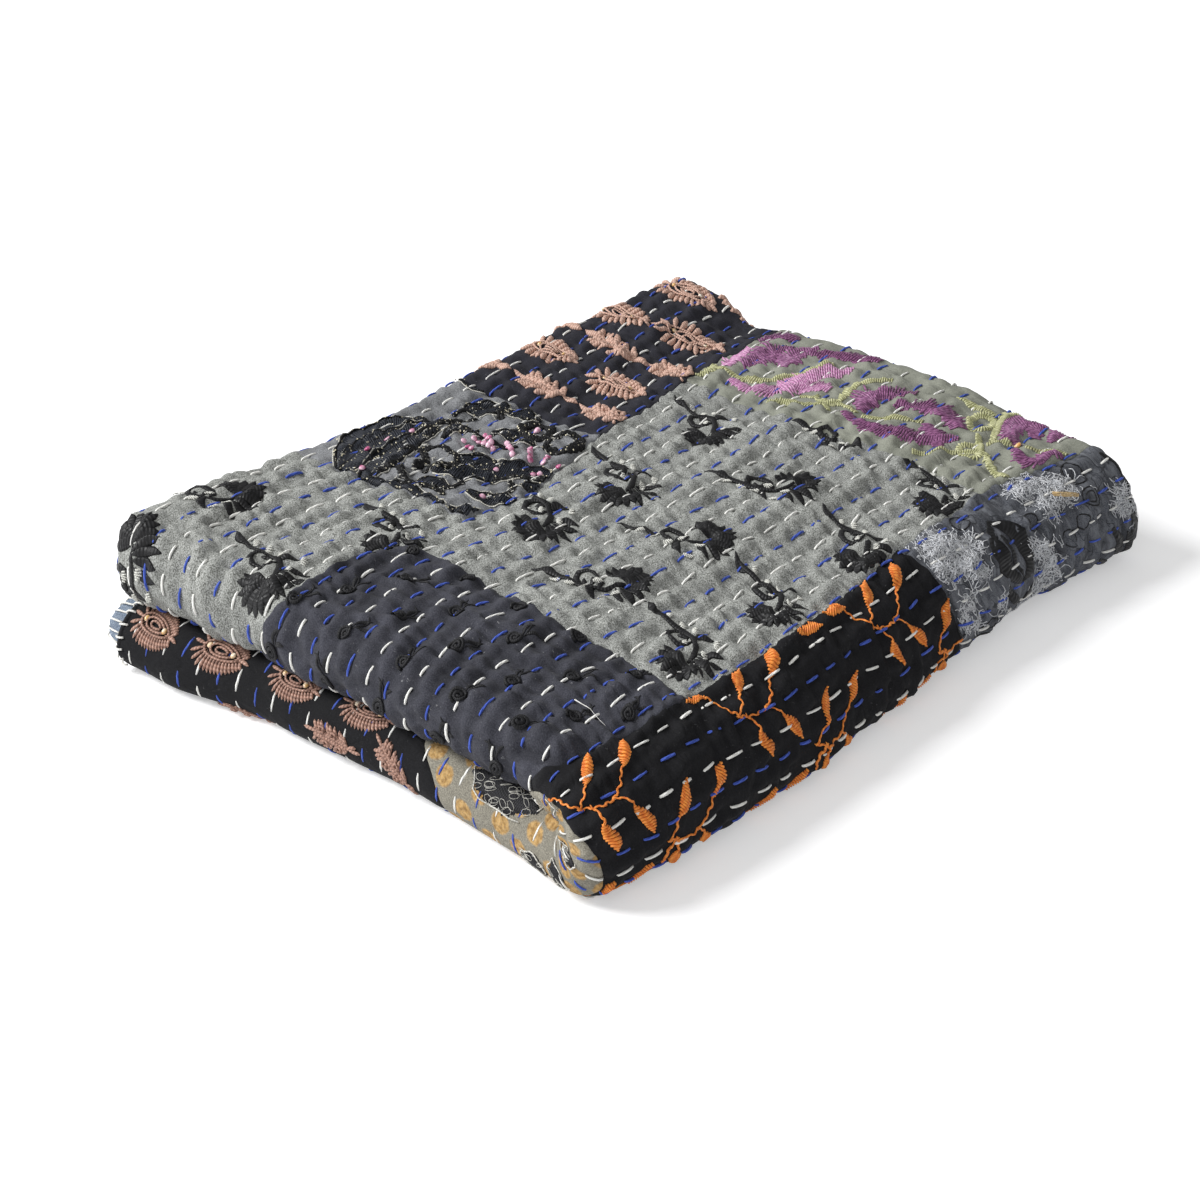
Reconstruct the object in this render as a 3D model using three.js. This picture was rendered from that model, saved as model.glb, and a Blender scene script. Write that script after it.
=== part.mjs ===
// A quilted patchwork throw, folded in half four times into a packet of sixteen layers.
// Millimetres, +Z up. X runs along the throw's long side, Y along its short side, and the packet
// lies flat on Z = 0. The cloth is one sheet, so the packet is one solid.
import * as THREE from "three";

// ---- The cloth, open and flat
const CLOTH_WIDTH = 1300;
const CLOTH_LENGTH = 1700;
const CLOTH_THICKNESS = 3;
const LAYER_GAP = 1.2; // air between two layers that face each other
const WIDTH_HEM_SLIP = 8; // how far the last hem lies past the first one once the width is folded
const LENGTH_HEM_SLIP = 5;

// ---- How finely the sheet is divided
const FLAT_STEPS = 5; // on each flat run between two bends
const BEND_STEPS = { first: 4, second: 6, third: 8, fourth: 10 };

// ---- How the packet's sides and top leave the straight. Each row is one place along a side.
// "low" moves the side outwards at the floor and "high" at the top, in millimetres.
const FRONT_LEFT_SIDE = [
  { at: 0, low: -12, high: -9 },
  { at: 60, low: -4, high: 4 },
  { at: 130, low: -2, high: -2 },
  { at: 220, low: -9, high: -6 },
  { at: 300, low: -24, high: -14 },
  { at: 334, low: -26, high: -15 },
];
const BACK_RIGHT_SIDE = [
  { at: 0, low: 12, high: 11 },
  { at: 60, low: 4, high: 3 },
  { at: 160, low: 0, high: -4 },
  { at: 265, low: -8, high: -12 },
  { at: 334, low: -8, high: -12 },
];
const FRONT_RIGHT_SIDE = [
  { at: 0, low: -12, high: -7 },
  { at: 60, low: -17, high: -9 },
  { at: 150, low: -16, high: -9 },
  { at: 215, low: -8, high: -4 },
  { at: 280, low: -1, high: 0 },
  { at: 345, low: 5, high: 2 },
  { at: 428, low: -2, high: -4 },
];
const LEFT_BACK_SIDE = [
  { at: 0, low: -16, high: 1 },
  { at: 60, low: -14, high: -3 },
  { at: 150, low: -13, high: -15 },
  { at: 300, low: -12, high: -13 },
  { at: 428, low: -12, high: -13 },
];
// Thickness of the lower and upper half of the packet, across its width, at the front-left side
// ("near") and at the back-right side ("far").
const THICKNESS = [
  { at: 0, lowerNear: 30, lowerFar: 30, upperNear: 28, upperFar: 27 },
  { at: 40, lowerNear: 30, lowerFar: 31, upperNear: 30, upperFar: 32 },
  { at: 120, lowerNear: 32, lowerFar: 34, upperNear: 36, upperFar: 38 },
  { at: 240, lowerNear: 31, lowerFar: 36, upperNear: 45, upperFar: 35 },
  { at: 334, lowerNear: 31, lowerFar: 37, upperNear: 48, upperFar: 42 },
];
// Soft hollows (and, where the depth is negative, swellings) in the top.
const HOLLOWS = [
  { x: 424, y: 272, reachX: 52, reachY: 24, depth: 9 },
  { x: 30, y: 36, reachX: 40, reachY: 18, depth: 3 },
  { x: 200, y: 150, reachX: 90, reachY: 60, depth: -2 },
  { x: 70, y: 120, reachX: 45, reachY: 70, depth: -2 },
];
const SAG_X = 9; // the front-left side spreads on the floor by this much
const SAG_Y = 18; // and the front-right side, where the whole packet bends, by this much

// ---- Folding
// A slab of cloth of the given height and twice the given half length is bent back on itself at
// its middle. "along" is the distance from the slab's first end and "above" the height over its
// middle surface. The result is measured from the outside of the bend.
function makeFold(half, height) {
  const radius = (height + LAYER_GAP) / 2;
  const flat = half - (Math.PI * radius) / 2;
  const bendCentre = radius + height / 2;
  const place = (along, above) => {
    const turn = THREE.MathUtils.clamp((along - flat) / radius, 0, Math.PI);
    const firstRun = Math.max(flat - along, 0);
    const secondRun = Math.max(along - flat - Math.PI * radius, 0);
    const arm = radius - above;
    return {
      from: bendCentre - arm * Math.sin(turn) + firstRun + secondRun,
      up: -arm * Math.cos(turn),
    };
  };
  return {
    place,
    height: 2 * height + LAYER_GAP,
    reach: bendCentre + flat,
    bend: [flat, flat + Math.PI * radius],
    // The two distances along the slab that end up this far from the outside of the bend.
    unfold: (from) => [
      flat + bendCentre - from,
      from - bendCentre + flat + Math.PI * radius,
    ],
  };
}

const firstFold = makeFold((CLOTH_LENGTH - LENGTH_HEM_SLIP) / 2, CLOTH_THICKNESS);
const foldedLength = firstFold.reach + LENGTH_HEM_SLIP;
const secondFold = makeFold((CLOTH_WIDTH - WIDTH_HEM_SLIP) / 2, firstFold.height);
const foldedWidth = secondFold.reach + WIDTH_HEM_SLIP;
const thirdFold = makeFold(foldedLength / 2, secondFold.height);
const fourthFold = makeFold(foldedWidth / 2, thirdFold.height);
const packetLength = thirdFold.reach;
const packetWidth = fourthFold.reach;
const packetHeight = fourthFold.height;

// The straight packet: where a point of the open cloth lies once all four folds are made.
function foldedPoint(acrossWidth, alongLength, above) {
  const first = firstFold.place(alongLength, above);
  const second = secondFold.place(acrossWidth, first.up);
  const third = thirdFold.place(first.from, second.up);
  const fourth = fourthFold.place(foldedWidth - second.from, third.up);
  return new THREE.Vector3(third.from, fourth.from, fourth.up + packetHeight / 2);
}

// ---- The uneven lie of the real packet
function rowBlend(rows, at, column) {
  const last = rows.length - 2;
  let row = 0;
  while (row < last && at > rows[row + 1].at) row += 1;
  const share = THREE.MathUtils.smoothstep(at, rows[row].at, rows[row + 1].at);
  return THREE.MathUtils.lerp(rows[row][column], rows[row + 1][column], share);
}

function sideShift(rows, at, height) {
  const share = THREE.MathUtils.smoothstep(height, 0, 1);
  return THREE.MathUtils.lerp(
    rowBlend(rows, at, "low"),
    rowBlend(rows, at, "high"),
    share,
  );
}

function unevenPoint(point) {
  const far = THREE.MathUtils.clamp(point.x / packetLength, 0, 1);
  const left = THREE.MathUtils.clamp(point.y / packetWidth, 0, 1);
  const high = THREE.MathUtils.clamp(point.z / packetHeight, 0, 1);
  const farShare = THREE.MathUtils.smoothstep(far, 0, 1);
  const lower = THREE.MathUtils.lerp(
    rowBlend(THICKNESS, point.y, "lowerNear"),
    rowBlend(THICKNESS, point.y, "lowerFar"),
    farShare,
  );
  const upper = THREE.MathUtils.lerp(
    rowBlend(THICKNESS, point.y, "upperNear"),
    rowBlend(THICKNESS, point.y, "upperFar"),
    farShare,
  );
  let z = lower * Math.min(2 * high, 1) + upper * Math.max(2 * high - 1, 0);
  for (const hollow of HOLLOWS) {
    const dx = (point.x - hollow.x) / hollow.reachX;
    const dy = (point.y - hollow.y) / hollow.reachY;
    z -= hollow.depth * high ** 2 * Math.exp(-dx * dx - dy * dy);
  }
  const sag = (1 - high) ** 2;
  const nearX = sideShift(FRONT_LEFT_SIDE, point.y, high) - SAG_X * sag;
  const farX = sideShift(BACK_RIGHT_SIDE, point.y, high);
  const nearY = sideShift(FRONT_RIGHT_SIDE, point.x, high) - SAG_Y * sag;
  const farY = sideShift(LEFT_BACK_SIDE, point.x, high);
  return new THREE.Vector3(
    point.x + nearX * (1 - far) ** 2 + farX * far ** 2,
    point.y + nearY * (1 - left) ** 2 + farY * left ** 2,
    z,
  );
}

// ---- Dividing the open cloth, finer in the bends
// Stations along one side of the cloth. Each also says how many bends lie before it, because the
// cloth runs the other way after each bend.
function makeStations(length, bends) {
  const stations = [0];
  const bendsBefore = [];
  const add = (end, steps, bendIndex, inBend) => {
    const start = stations[stations.length - 1];
    for (let step = 1; step <= steps; step += 1) {
      stations.push(start + ((end - start) * step) / steps);
      bendsBefore.push(bendIndex + (inBend && step > steps / 2 ? 1 : 0));
    }
  };
  bends.forEach((bend, index) => {
    add(bend.span[0], FLAT_STEPS, index, false);
    add(bend.span[1], bend.steps, index, true);
  });
  add(length, FLAT_STEPS, bends.length, false);
  return { stations, bendsBefore };
}

const sorted = (pair) => pair.slice().sort((a, b) => a - b);

function widthBends() {
  const ends = fourthFold.bend.map((along) => secondFold.unfold(foldedWidth - along));
  return [
    { span: sorted([ends[0][0], ends[1][0]]), steps: BEND_STEPS.fourth },
    { span: secondFold.bend, steps: BEND_STEPS.second },
    { span: sorted([ends[0][1], ends[1][1]]), steps: BEND_STEPS.fourth },
  ];
}

function lengthBends() {
  const ends = thirdFold.bend.map((along) => firstFold.unfold(along));
  return [
    { span: sorted([ends[0][0], ends[1][0]]), steps: BEND_STEPS.third },
    { span: firstFold.bend, steps: BEND_STEPS.first },
    { span: sorted([ends[0][1], ends[1][1]]), steps: BEND_STEPS.third },
  ];
}

// ---- The closed sheet: an outer face, an inner face and the hems between them
function throwGeometry() {
  const across = makeStations(CLOTH_WIDTH, widthBends());
  const along = makeStations(CLOTH_LENGTH, lengthBends());
  const columns = across.stations.length;
  const rows = along.stations.length;
  const positions = [];
  for (const above of [-CLOTH_THICKNESS / 2, CLOTH_THICKNESS / 2]) {
    for (const s of across.stations) {
      for (const t of along.stations) {
        positions.push(...unevenPoint(foldedPoint(s, t, above)).toArray());
      }
    }
  }
  const index = (side, column, row) => (side * columns + column) * rows + row;
  const triangles = [];
  // a, b, c, d run round a quad; "turned" splits it along b-d instead of a-c.
  const addQuad = (a, b, c, d, turned) => {
    triangles.push(...(turned ? [a, b, d, b, c, d] : [a, b, c, a, c, d]));
  };
  for (let column = 0; column < columns - 1; column += 1) {
    for (let row = 0; row < rows - 1; row += 1) {
      // Layers that lie on each other are split along the same diagonal.
      const turned =
        (across.bendsBefore[column] + along.bendsBefore[row]) % 2 === 1;
      const corners = (side) => [
        index(side, column, row),
        index(side, column, row + 1),
        index(side, column + 1, row + 1),
        index(side, column + 1, row),
      ];
      const [a, b, c, d] = corners(0);
      addQuad(a, b, c, d, turned);
      const [e, f, g, h] = corners(1);
      addQuad(e, h, g, f, turned);
    }
  }
  for (let column = 0; column < columns - 1; column += 1) {
    const near = [index(0, column, 0), index(0, column + 1, 0)];
    const nearInner = [index(1, column, 0), index(1, column + 1, 0)];
    addQuad(near[0], near[1], nearInner[1], nearInner[0], false);
    const far = [index(0, column, rows - 1), index(0, column + 1, rows - 1)];
    const farInner = [index(1, column, rows - 1), index(1, column + 1, rows - 1)];
    addQuad(far[1], far[0], farInner[0], farInner[1], false);
  }
  for (let row = 0; row < rows - 1; row += 1) {
    const near = [index(0, 0, row), index(0, 0, row + 1)];
    const nearInner = [index(1, 0, row), index(1, 0, row + 1)];
    addQuad(near[1], near[0], nearInner[0], nearInner[1], false);
    const far = [index(0, columns - 1, row), index(0, columns - 1, row + 1)];
    const farInner = [index(1, columns - 1, row), index(1, columns - 1, row + 1)];
    addQuad(far[0], far[1], farInner[1], farInner[0], false);
  }
  const geometry = new THREE.BufferGeometry();
  geometry.setAttribute("position", new THREE.Float32BufferAttribute(positions, 3));
  geometry.setIndex(triangles);
  geometry.computeBoundingBox();
  const centre = geometry.boundingBox.getCenter(new THREE.Vector3());
  geometry.translate(-centre.x, -centre.y, 0);
  geometry.computeVertexNormals();
  return geometry;
}

const quiltedCotton = new THREE.MeshStandardMaterial({
  color: 0x5f6260,
  roughness: 0.92,
  metalness: 0,
});

const throwBlanket = new THREE.Mesh(throwGeometry(), quiltedCotton);
throwBlanket.name = "throw_blanket";

const group = new THREE.Group();
group.name = "folded_patchwork_throw";
group.add(throwBlanket);

export default group;
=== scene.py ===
"""A patchwork throw folded into a flat packet: worn cotton patches, hand quilted in rows of blue and white
running stitch, with embroidered, beaded and printed motifs.

Lengths are millimetres up to the last step, where points become metres. A place on the outside of
the packet is given by two distances measured on the cloth: "along" runs with the rows of stitches
and equals X on the top, "across" crosses them and equals Y on the top. Both go on round the folds:
across falls from the top, over the big front fold, to the underside, and along falls from the top,
over the front-left fold, into the valley between the two halves of the packet.
"""

import math

import bpy
import numpy as np
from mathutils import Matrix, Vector


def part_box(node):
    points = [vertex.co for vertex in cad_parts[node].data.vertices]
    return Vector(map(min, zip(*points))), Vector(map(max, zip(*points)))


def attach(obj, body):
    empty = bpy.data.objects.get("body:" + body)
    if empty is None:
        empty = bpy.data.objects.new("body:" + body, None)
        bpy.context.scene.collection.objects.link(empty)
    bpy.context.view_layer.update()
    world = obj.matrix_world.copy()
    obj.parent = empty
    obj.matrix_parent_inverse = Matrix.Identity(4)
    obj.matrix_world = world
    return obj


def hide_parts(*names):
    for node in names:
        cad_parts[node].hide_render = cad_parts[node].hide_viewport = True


bl_info = {
    "name": "Folded Patchwork Throw",
    "version": (1, 0, 0),
    "blender": (4, 5, 0),
    "location": "3D View > Sidebar > Throw",
    "description": "Builds the looks of a folded, hand-quilted patchwork throw around its packed frame",
    "category": "Object",
}

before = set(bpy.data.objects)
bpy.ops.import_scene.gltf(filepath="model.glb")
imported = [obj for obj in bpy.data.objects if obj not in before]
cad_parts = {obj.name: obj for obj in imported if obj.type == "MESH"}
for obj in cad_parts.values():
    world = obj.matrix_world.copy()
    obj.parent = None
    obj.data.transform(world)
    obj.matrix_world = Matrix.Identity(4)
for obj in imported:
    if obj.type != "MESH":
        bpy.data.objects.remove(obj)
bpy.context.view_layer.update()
NODE = "throw_blanket"
MM = 0.001

# ---------------------------------------------------------------- the cloth and its four folds
CLOTH_WIDTH = 1300.0
CLOTH_LENGTH = 1700.0
CLOTH_THICKNESS = 3.0
LAYER_GAP = 1.2
WIDTH_HEM_SLIP = 8.0
LENGTH_HEM_SLIP = 5.0
SOLID_STEPS = {"flat": 5, "first": 4, "second": 6, "third": 8, "fourth": 10}
BACKING_STEPS = {"flat": 18, "first": 6, "second": 8, "third": 10, "fourth": 12}

# How the packet's sides leave the straight: (place along the side, shift at the floor, shift at the top).
FRONT_LEFT_SIDE = [(0, -12, -9), (60, -4, 4), (130, -2, -2), (220, -9, -6), (300, -24, -14), (334, -26, -15)]
BACK_RIGHT_SIDE = [(0, 12, 11), (60, 4, 3), (160, 0, -4), (265, -8, -12), (334, -8, -12)]
FRONT_RIGHT_SIDE = [(0, -12, -7), (60, -17, -9), (150, -16, -9), (215, -8, -4), (280, -1, 0), (345, 5, 2),
                    (428, -2, -4)]
LEFT_BACK_SIDE = [(0, -16, 1), (60, -14, -3), (150, -13, -15), (300, -12, -13), (428, -12, -13)]
# Thickness across the width: (place, lower half near, lower half far, upper half near, upper half far).
THICKNESS = [(0, 30, 30, 28, 27), (40, 30, 31, 30, 32), (120, 32, 34, 36, 38), (240, 31, 36, 45, 35),
             (334, 31, 37, 48, 42)]
# Soft hollows in the top: (x, y, reach in x, reach in y, depth).
HOLLOWS = [(424, 272, 52, 24, 9), (30, 36, 40, 18, 3), (200, 150, 90, 60, -2), (70, 120, 45, 70, -2)]
SAG_X = 9.0
SAG_Y = 18.0


def smooth(x):
    """0 below 0, 1 above 1, and the cubic 3x^2 - 2x^3 between."""
    x = np.clip(x, 0.0, 1.0)
    return x * x * (3.0 - 2.0 * x)


class Fold:
    """A slab of the given height and twice the given half length, bent back on itself at its middle.

    A point keeps its height over the slab's middle surface. Up to the bend it runs towards the
    outside of the bend, then half round a circle, then back over the first run.
    """

    def __init__(self, half, height):
        self.radius = (height + LAYER_GAP) / 2
        self.flat = half - math.pi * self.radius / 2
        self.bend_end = self.flat + math.pi * self.radius
        self.centre = self.radius + height / 2
        self.height = 2 * height + LAYER_GAP
        self.reach = self.centre + self.flat

    def place(self, along, above):
        """Where a point goes: its distance from the outside of the bend, and its height over the axis."""
        turn = np.clip((along - self.flat) / self.radius, 0.0, math.pi)
        runs = np.maximum(self.flat - along, 0.0) + np.maximum(along - self.bend_end, 0.0)
        arm = self.radius - above
        return self.centre - arm * np.sin(turn) + runs, -arm * np.cos(turn)

    def unfold(self, place):
        """The two distances along the slab that end up this far from the outside of the bend."""
        return self.flat + self.centre - place, place - self.centre + self.bend_end


FIRST = Fold((CLOTH_LENGTH - LENGTH_HEM_SLIP) / 2, CLOTH_THICKNESS)
SECOND = Fold((CLOTH_WIDTH - WIDTH_HEM_SLIP) / 2, FIRST.height)
FOLDED_WIDTH = SECOND.reach + WIDTH_HEM_SLIP
THIRD = Fold((FIRST.reach + LENGTH_HEM_SLIP) / 2, SECOND.height)
FOURTH = Fold(FOLDED_WIDTH / 2, THIRD.height)


def row_blend(rows, place, column):
    """A column of a table at a place, eased from row to row by the smooth cubic."""
    places = np.array([row[0] for row in rows], float)
    values = np.array([row[column] for row in rows], float)
    index = np.clip(np.searchsorted(places, place) - 1, 0, len(rows) - 2)
    share = smooth((place - places[index]) / (places[index + 1] - places[index]))
    return values[index] + (values[index + 1] - values[index]) * share


def side_shift(rows, place, high):
    """A side's shift at a place along it, eased from its value at the floor to that at the top."""
    share = smooth(high)
    return row_blend(rows, place, 1) * (1 - share) + row_blend(rows, place, 2) * share


def fold_cloth(width_place, length_place, above):
    """Where a point of the open cloth lies in the uneven packet, in millimetres.

    The four folds are applied in turn. Then the height is stretched between the two halves'
    thicknesses, while what stands out above or below them keeps its size. Hollows sink with the
    square of the height. Each side is shifted by its table times the square of the closeness to that
    side, with a sag that grows towards the floor.
    """
    y1, z1 = FIRST.place(length_place, above)
    x2, z2 = SECOND.place(width_place, z1)
    x, z3 = THIRD.place(y1, z2)
    y, z4 = FOURTH.place(FOLDED_WIDTH - x2, z3)
    far = np.clip(x / THIRD.reach, 0, 1)
    left = np.clip(y / FOURTH.reach, 0, 1)
    unstretched = z4 + FOURTH.height / 2
    high = np.clip(unstretched / FOURTH.height, 0, 1)
    share = smooth(far)
    lower = row_blend(THICKNESS, y, 1) * (1 - share) + row_blend(THICKNESS, y, 2) * share
    upper = row_blend(THICKNESS, y, 3) * (1 - share) + row_blend(THICKNESS, y, 4) * share
    z = lower * np.minimum(2 * high, 1) + upper * np.maximum(2 * high - 1, 0)
    z = z + unstretched - high * FOURTH.height
    for hx, hy, reach_x, reach_y, depth in HOLLOWS:
        z = z - depth * high**2 * np.exp(-(((x - hx) / reach_x) ** 2) - ((y - hy) / reach_y) ** 2)
    sag = (1 - high) ** 2
    near_x = (side_shift(FRONT_LEFT_SIDE, y, high) - SAG_X * sag) * (1 - far) ** 2
    far_x = side_shift(BACK_RIGHT_SIDE, y, high) * far**2
    near_y = (side_shift(FRONT_RIGHT_SIDE, x, high) - SAG_Y * sag) * (1 - left) ** 2
    far_y = side_shift(LEFT_BACK_SIDE, x, high) * left**2
    return np.stack([x + near_x + far_x, y + near_y + far_y, z], axis=-1)


def bend_spans():
    """The stretches of the open cloth's width and of its length that lie in bends, with their names."""
    ends = [SECOND.unfold(FOLDED_WIDTH - place) for place in (FOURTH.flat, FOURTH.bend_end)]
    width = [("fourth", sorted(end[0] for end in ends)), ("second", [SECOND.flat, SECOND.bend_end]),
             ("fourth", sorted(end[1] for end in ends))]
    ends = [FIRST.unfold(place) for place in (THIRD.flat, THIRD.bend_end)]
    length = [("third", sorted(end[0] for end in ends)), ("first", [FIRST.flat, FIRST.bend_end]),
              ("third", sorted(end[1] for end in ends))]
    return width, length


WIDTH_BENDS, LENGTH_BENDS = bend_spans()


def stations(total, bends, steps):
    """Places along one side of the open cloth: even steps on each flat run and in each bend."""
    places = [np.zeros(1)]
    for name, span in bends:
        places.append(np.linspace(places[-1][-1], span[0], steps["flat"] + 1)[1:])
        places.append(np.linspace(span[0], span[1], steps[name] + 1)[1:])
    places.append(np.linspace(places[-1][-1], total, steps["flat"] + 1)[1:])
    return np.concatenate(places)


def packet_shift():
    """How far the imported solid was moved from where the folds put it, in millimetres."""
    across = stations(CLOTH_WIDTH, WIDTH_BENDS, SOLID_STEPS)
    along = stations(CLOTH_LENGTH, LENGTH_BENDS, SOLID_STEPS)
    faces = [fold_cloth(across[:, None], along[None, :], side * CLOTH_THICKNESS / 2) for side in (-1, 1)]
    lowest = np.min([face.reshape(-1, 3).min(0) for face in faces], axis=0)
    return np.array(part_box(NODE)[0]) / MM - lowest


SHIFT = packet_shift()
FLOOR_PRESS = 0.8  # cloth and threads lower than this are pressed flat on the floor


def cloth_point(width_place, length_place, above):
    """A point of the cloth in metres, in the part's frame; near the floor it is pressed flat above it:
    the height becomes half the sum of itself and the root of its square plus a small square."""
    points = fold_cloth(width_place, length_place, above) + SHIFT
    points[..., 2] = (points[..., 2] + np.sqrt(points[..., 2] ** 2 + FLOOR_PRESS**2)) / 2
    return points * MM


# ---------------------------------------------------------------- the outside of the packet
PAST_BENDS = 60.0  # the outside is followed this far past the last bend
BEFORE_HEM = 40.0  # and this far before the hem


def skin_breaks(bends, big, small, start):
    """Matching places on the outside of the packet and on the open cloth, where bends begin and end.

    Round a bend the outside is longer than the cloth's middle, by the ratio of their radii.
    """
    cloth = np.array([0.0, *bends[0][1], *bends[1][1], bends[1][1][1] + PAST_BENDS])
    outer = np.diff(cloth)
    outer[1] *= big
    outer[3] *= small
    skin = np.concatenate([[0.0], np.cumsum(outer)])
    skin += start - skin[2]
    return np.append(skin[0] - BEFORE_HEM, skin), np.append(-BEFORE_HEM, cloth)


def outer_ratio(fold, height):
    """How much longer the outside of a bend is than the middle of the slab that is bent."""
    return (fold.radius + height / 2) / fold.radius


ACROSS_SKIN, ACROSS_CLOTH = skin_breaks(
    WIDTH_BENDS, outer_ratio(FOURTH, THIRD.height), outer_ratio(SECOND, FIRST.height), FOURTH.centre)
ALONG_SKIN, ALONG_CLOTH = skin_breaks(
    LENGTH_BENDS, outer_ratio(THIRD, SECOND.height), outer_ratio(FIRST, CLOTH_THICKNESS), THIRD.centre)
HEM_OVERHANG = 7.0  # how far the outer patches hang over the hem of the backing
HEM_ACROSS = ACROSS_SKIN[1] - HEM_OVERHANG
BIG_FOLD_START = ACROSS_SKIN[2]
ROLL_ACROSS = ACROSS_SKIN[5]
ROLL_ALONG = ALONG_SKIN[5]
TUCKED_IN = 20.0  # how far the outer patches go on past the rolled edges and into the valley


def skin_point(along, across, height):
    """A point this high over the outside of the packet, in metres."""
    width_place = np.interp(across, ACROSS_SKIN, ACROSS_CLOTH)
    length_place = np.interp(along, ALONG_SKIN, ALONG_CLOTH)
    return cloth_point(width_place, length_place, -CLOTH_THICKNESS / 2 - height)


# ---------------------------------------------------------------- seams between the patches
ALONG_ENDS = (-60, 480)  # from deep in the valley to past the far roll
ACROSS_ENDS = (-370, 390)  # from past the hem to past the roll at the back


def straight(value, low, high):
    """A seam on which one coordinate stays the same while the other goes from low to high."""
    return [(low, value), (high, value)]


# Seams that run along the rows: (along, across) at each point.
BIG_FOLD_SEAM = [(-60, 54), (-7, 45), (10, 34), (58, 27), (200, 26), (266, 31), (341, 34), (419, 28),
                 (480, 28)]
CHARCOAL_LEFT = [(-60, 238), (-18, 230), (-8, 224), (6, 216), (32, 217), (58, 220), (78, 213), (95, 209)]
SILVER_LOW = [(100, 214), (136, 211), (152, 204), (179, 209), (223, 220), (245, 224)]
SHELLS_LOW = [(225, 222), (240, 223), (280, 227), (338, 235), (366, 238), (430, 247), (480, 250)]
UNDER_SEAM = [(-60, -112), (100, -108), (300, -114), (480, -110)]
FRONT_SHELLS_END = [(-60, -168), (-26, -164), (-18, -152), (-7, -146), (20, -146)]
HEM = straight(HEM_ACROSS + 0.5, *ALONG_ENDS)
ROLL = straight(ROLL_ACROSS + TUCKED_IN, *ALONG_ENDS)
SPOTTED_END = straight(158, *ALONG_ENDS)
HEATHER_LOW = [(along, across - 9) for along, across in BIG_FOLD_SEAM]
# Seams that cross the rows: (across, along) at each point.
VALLEY = straight(ALONG_ENDS[0], *ACROSS_ENDS)
NOSE_SEAM = [(-370, 14), (-110, 12), (-37, 10), (-14, 4), (10, -6), (36, -8), (46, -13), (56, -26), (70, -34),
             (110, -38), (146, -46), (166, -58), (240, -60)]
SPRIGS_RIGHT = [(-200, 284), (-47, 278), (-16, 272), (10, 272), (31, 266), (45, 264)]
CHARCOAL_RIGHT = [(20, 90), (60, 88), (110, 84), (170, 87), (212, 86), (240, 87)]
SILVER_LEFT = [(200, 124), (227, 122), (316, 112), (390, 110)]
SILVER_RIGHT = [(200, 242), (223, 240), (328, 230), (390, 228)]
OLIVE_LEFT = [(20, 345), (37, 344), (83, 340), (130, 329), (200, 328), (240, 326)]
OLIVE_UNDER = [(20, 356), (130, 341), (240, 338), (390, 300)]
UNDER_MIDDLE = [(-370, 236), (-100, 246)]
FAR_END = straight(ROLL_ALONG + TUCKED_IN, *ACROSS_ENDS)
SEAM_SOFTNESS = 5.0  # how far a bend in a seam is rounded off

# Each patch: its slot, the seams at its low and high "across", those at its low and high "along",
# how high its face lies, its thickness and the size of its mesh.
PATCHES = {
    "heather": ("heather_cotton", HEATHER_LOW, ROLL, VALLEY, OLIVE_UNDER, -0.8, 0.9, 1.9),
    "charcoal": ("charcoal_cotton", BIG_FOLD_SEAM, CHARCOAL_LEFT, NOSE_SEAM, CHARCOAL_RIGHT, 0.0, 0.8, 1.6),
    "silver": ("silver_cotton", SILVER_LOW, ROLL, SILVER_LEFT, SILVER_RIGHT, 0.0, 0.8, 1.7),
    "shells_top": ("black_cotton", SHELLS_LOW, ROLL, SILVER_RIGHT, FAR_END, 0.0, 0.8, 1.7),
    "olive": ("olive_cotton", BIG_FOLD_SEAM, SHELLS_LOW, OLIVE_LEFT, FAR_END, 0.0, 0.8, 1.7),
    "sprigs": ("black_cotton", UNDER_SEAM, BIG_FOLD_SEAM, NOSE_SEAM, SPRIGS_RIGHT, 0.0, 0.8, 1.6),
    "blue_grey": ("blue_grey_cotton", UNDER_SEAM, BIG_FOLD_SEAM, SPRIGS_RIGHT, FAR_END, 0.0, 0.8, 1.6),
    "spotted": ("dotted_cotton", FRONT_SHELLS_END, SPOTTED_END, VALLEY, NOSE_SEAM, 0.0, 0.8, 1.6),
    "shells_front": ("black_cotton", HEM, FRONT_SHELLS_END, VALLEY, NOSE_SEAM, 0.0, 0.8, 1.7),
    "under_near": ("heather_cotton", HEM, UNDER_SEAM, NOSE_SEAM, UNDER_MIDDLE, 0.0, 0.8, 4.5),
    "under_far": ("olive_cotton", HEM, UNDER_SEAM, UNDER_MIDDLE, FAR_END, 0.0, 0.8, 4.5),
}
SETTLING_ROUNDS = 8  # of working out the places inside a patch
UNDER_DROP = 1.35  # how much lower the heather cloth lies where other patches cover it
OVERLAP = 2.0  # how far the patches reach over the thick part of the backing
BACKING_DEPTH = 2.6  # how far the backing lies below the outer face under the patches


def seam_line(points, place):
    """The seam's other coordinate at a place: the mean of five straight-line readings around it."""
    places, values = np.array(points, float).T
    shifts = SEAM_SOFTNESS * np.array([-1.0, -0.5, 0.0, 0.5, 1.0])
    return np.mean([np.interp(place + shift, places, values) for shift in shifts], axis=0)


def patch_places(name, u, v):
    """Places inside a four-sided patch: u goes from its low to its high "along", v likewise across.

    Each coordinate is a share between two seams that depend on the other, so both are worked out
    in turn until they settle.
    """
    low_across, high_across, low_along, high_along = PATCHES[name][1:5]
    along, across = np.zeros_like(u), np.zeros_like(u)
    for _ in range(SETTLING_ROUNDS):
        low, high = seam_line(low_along, across), seam_line(high_along, across)
        along = low + (high - low) * u
        low, high = seam_line(low_across, along), seam_line(high_across, along)
        across = low + (high - low) * v
    return along, across


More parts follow.
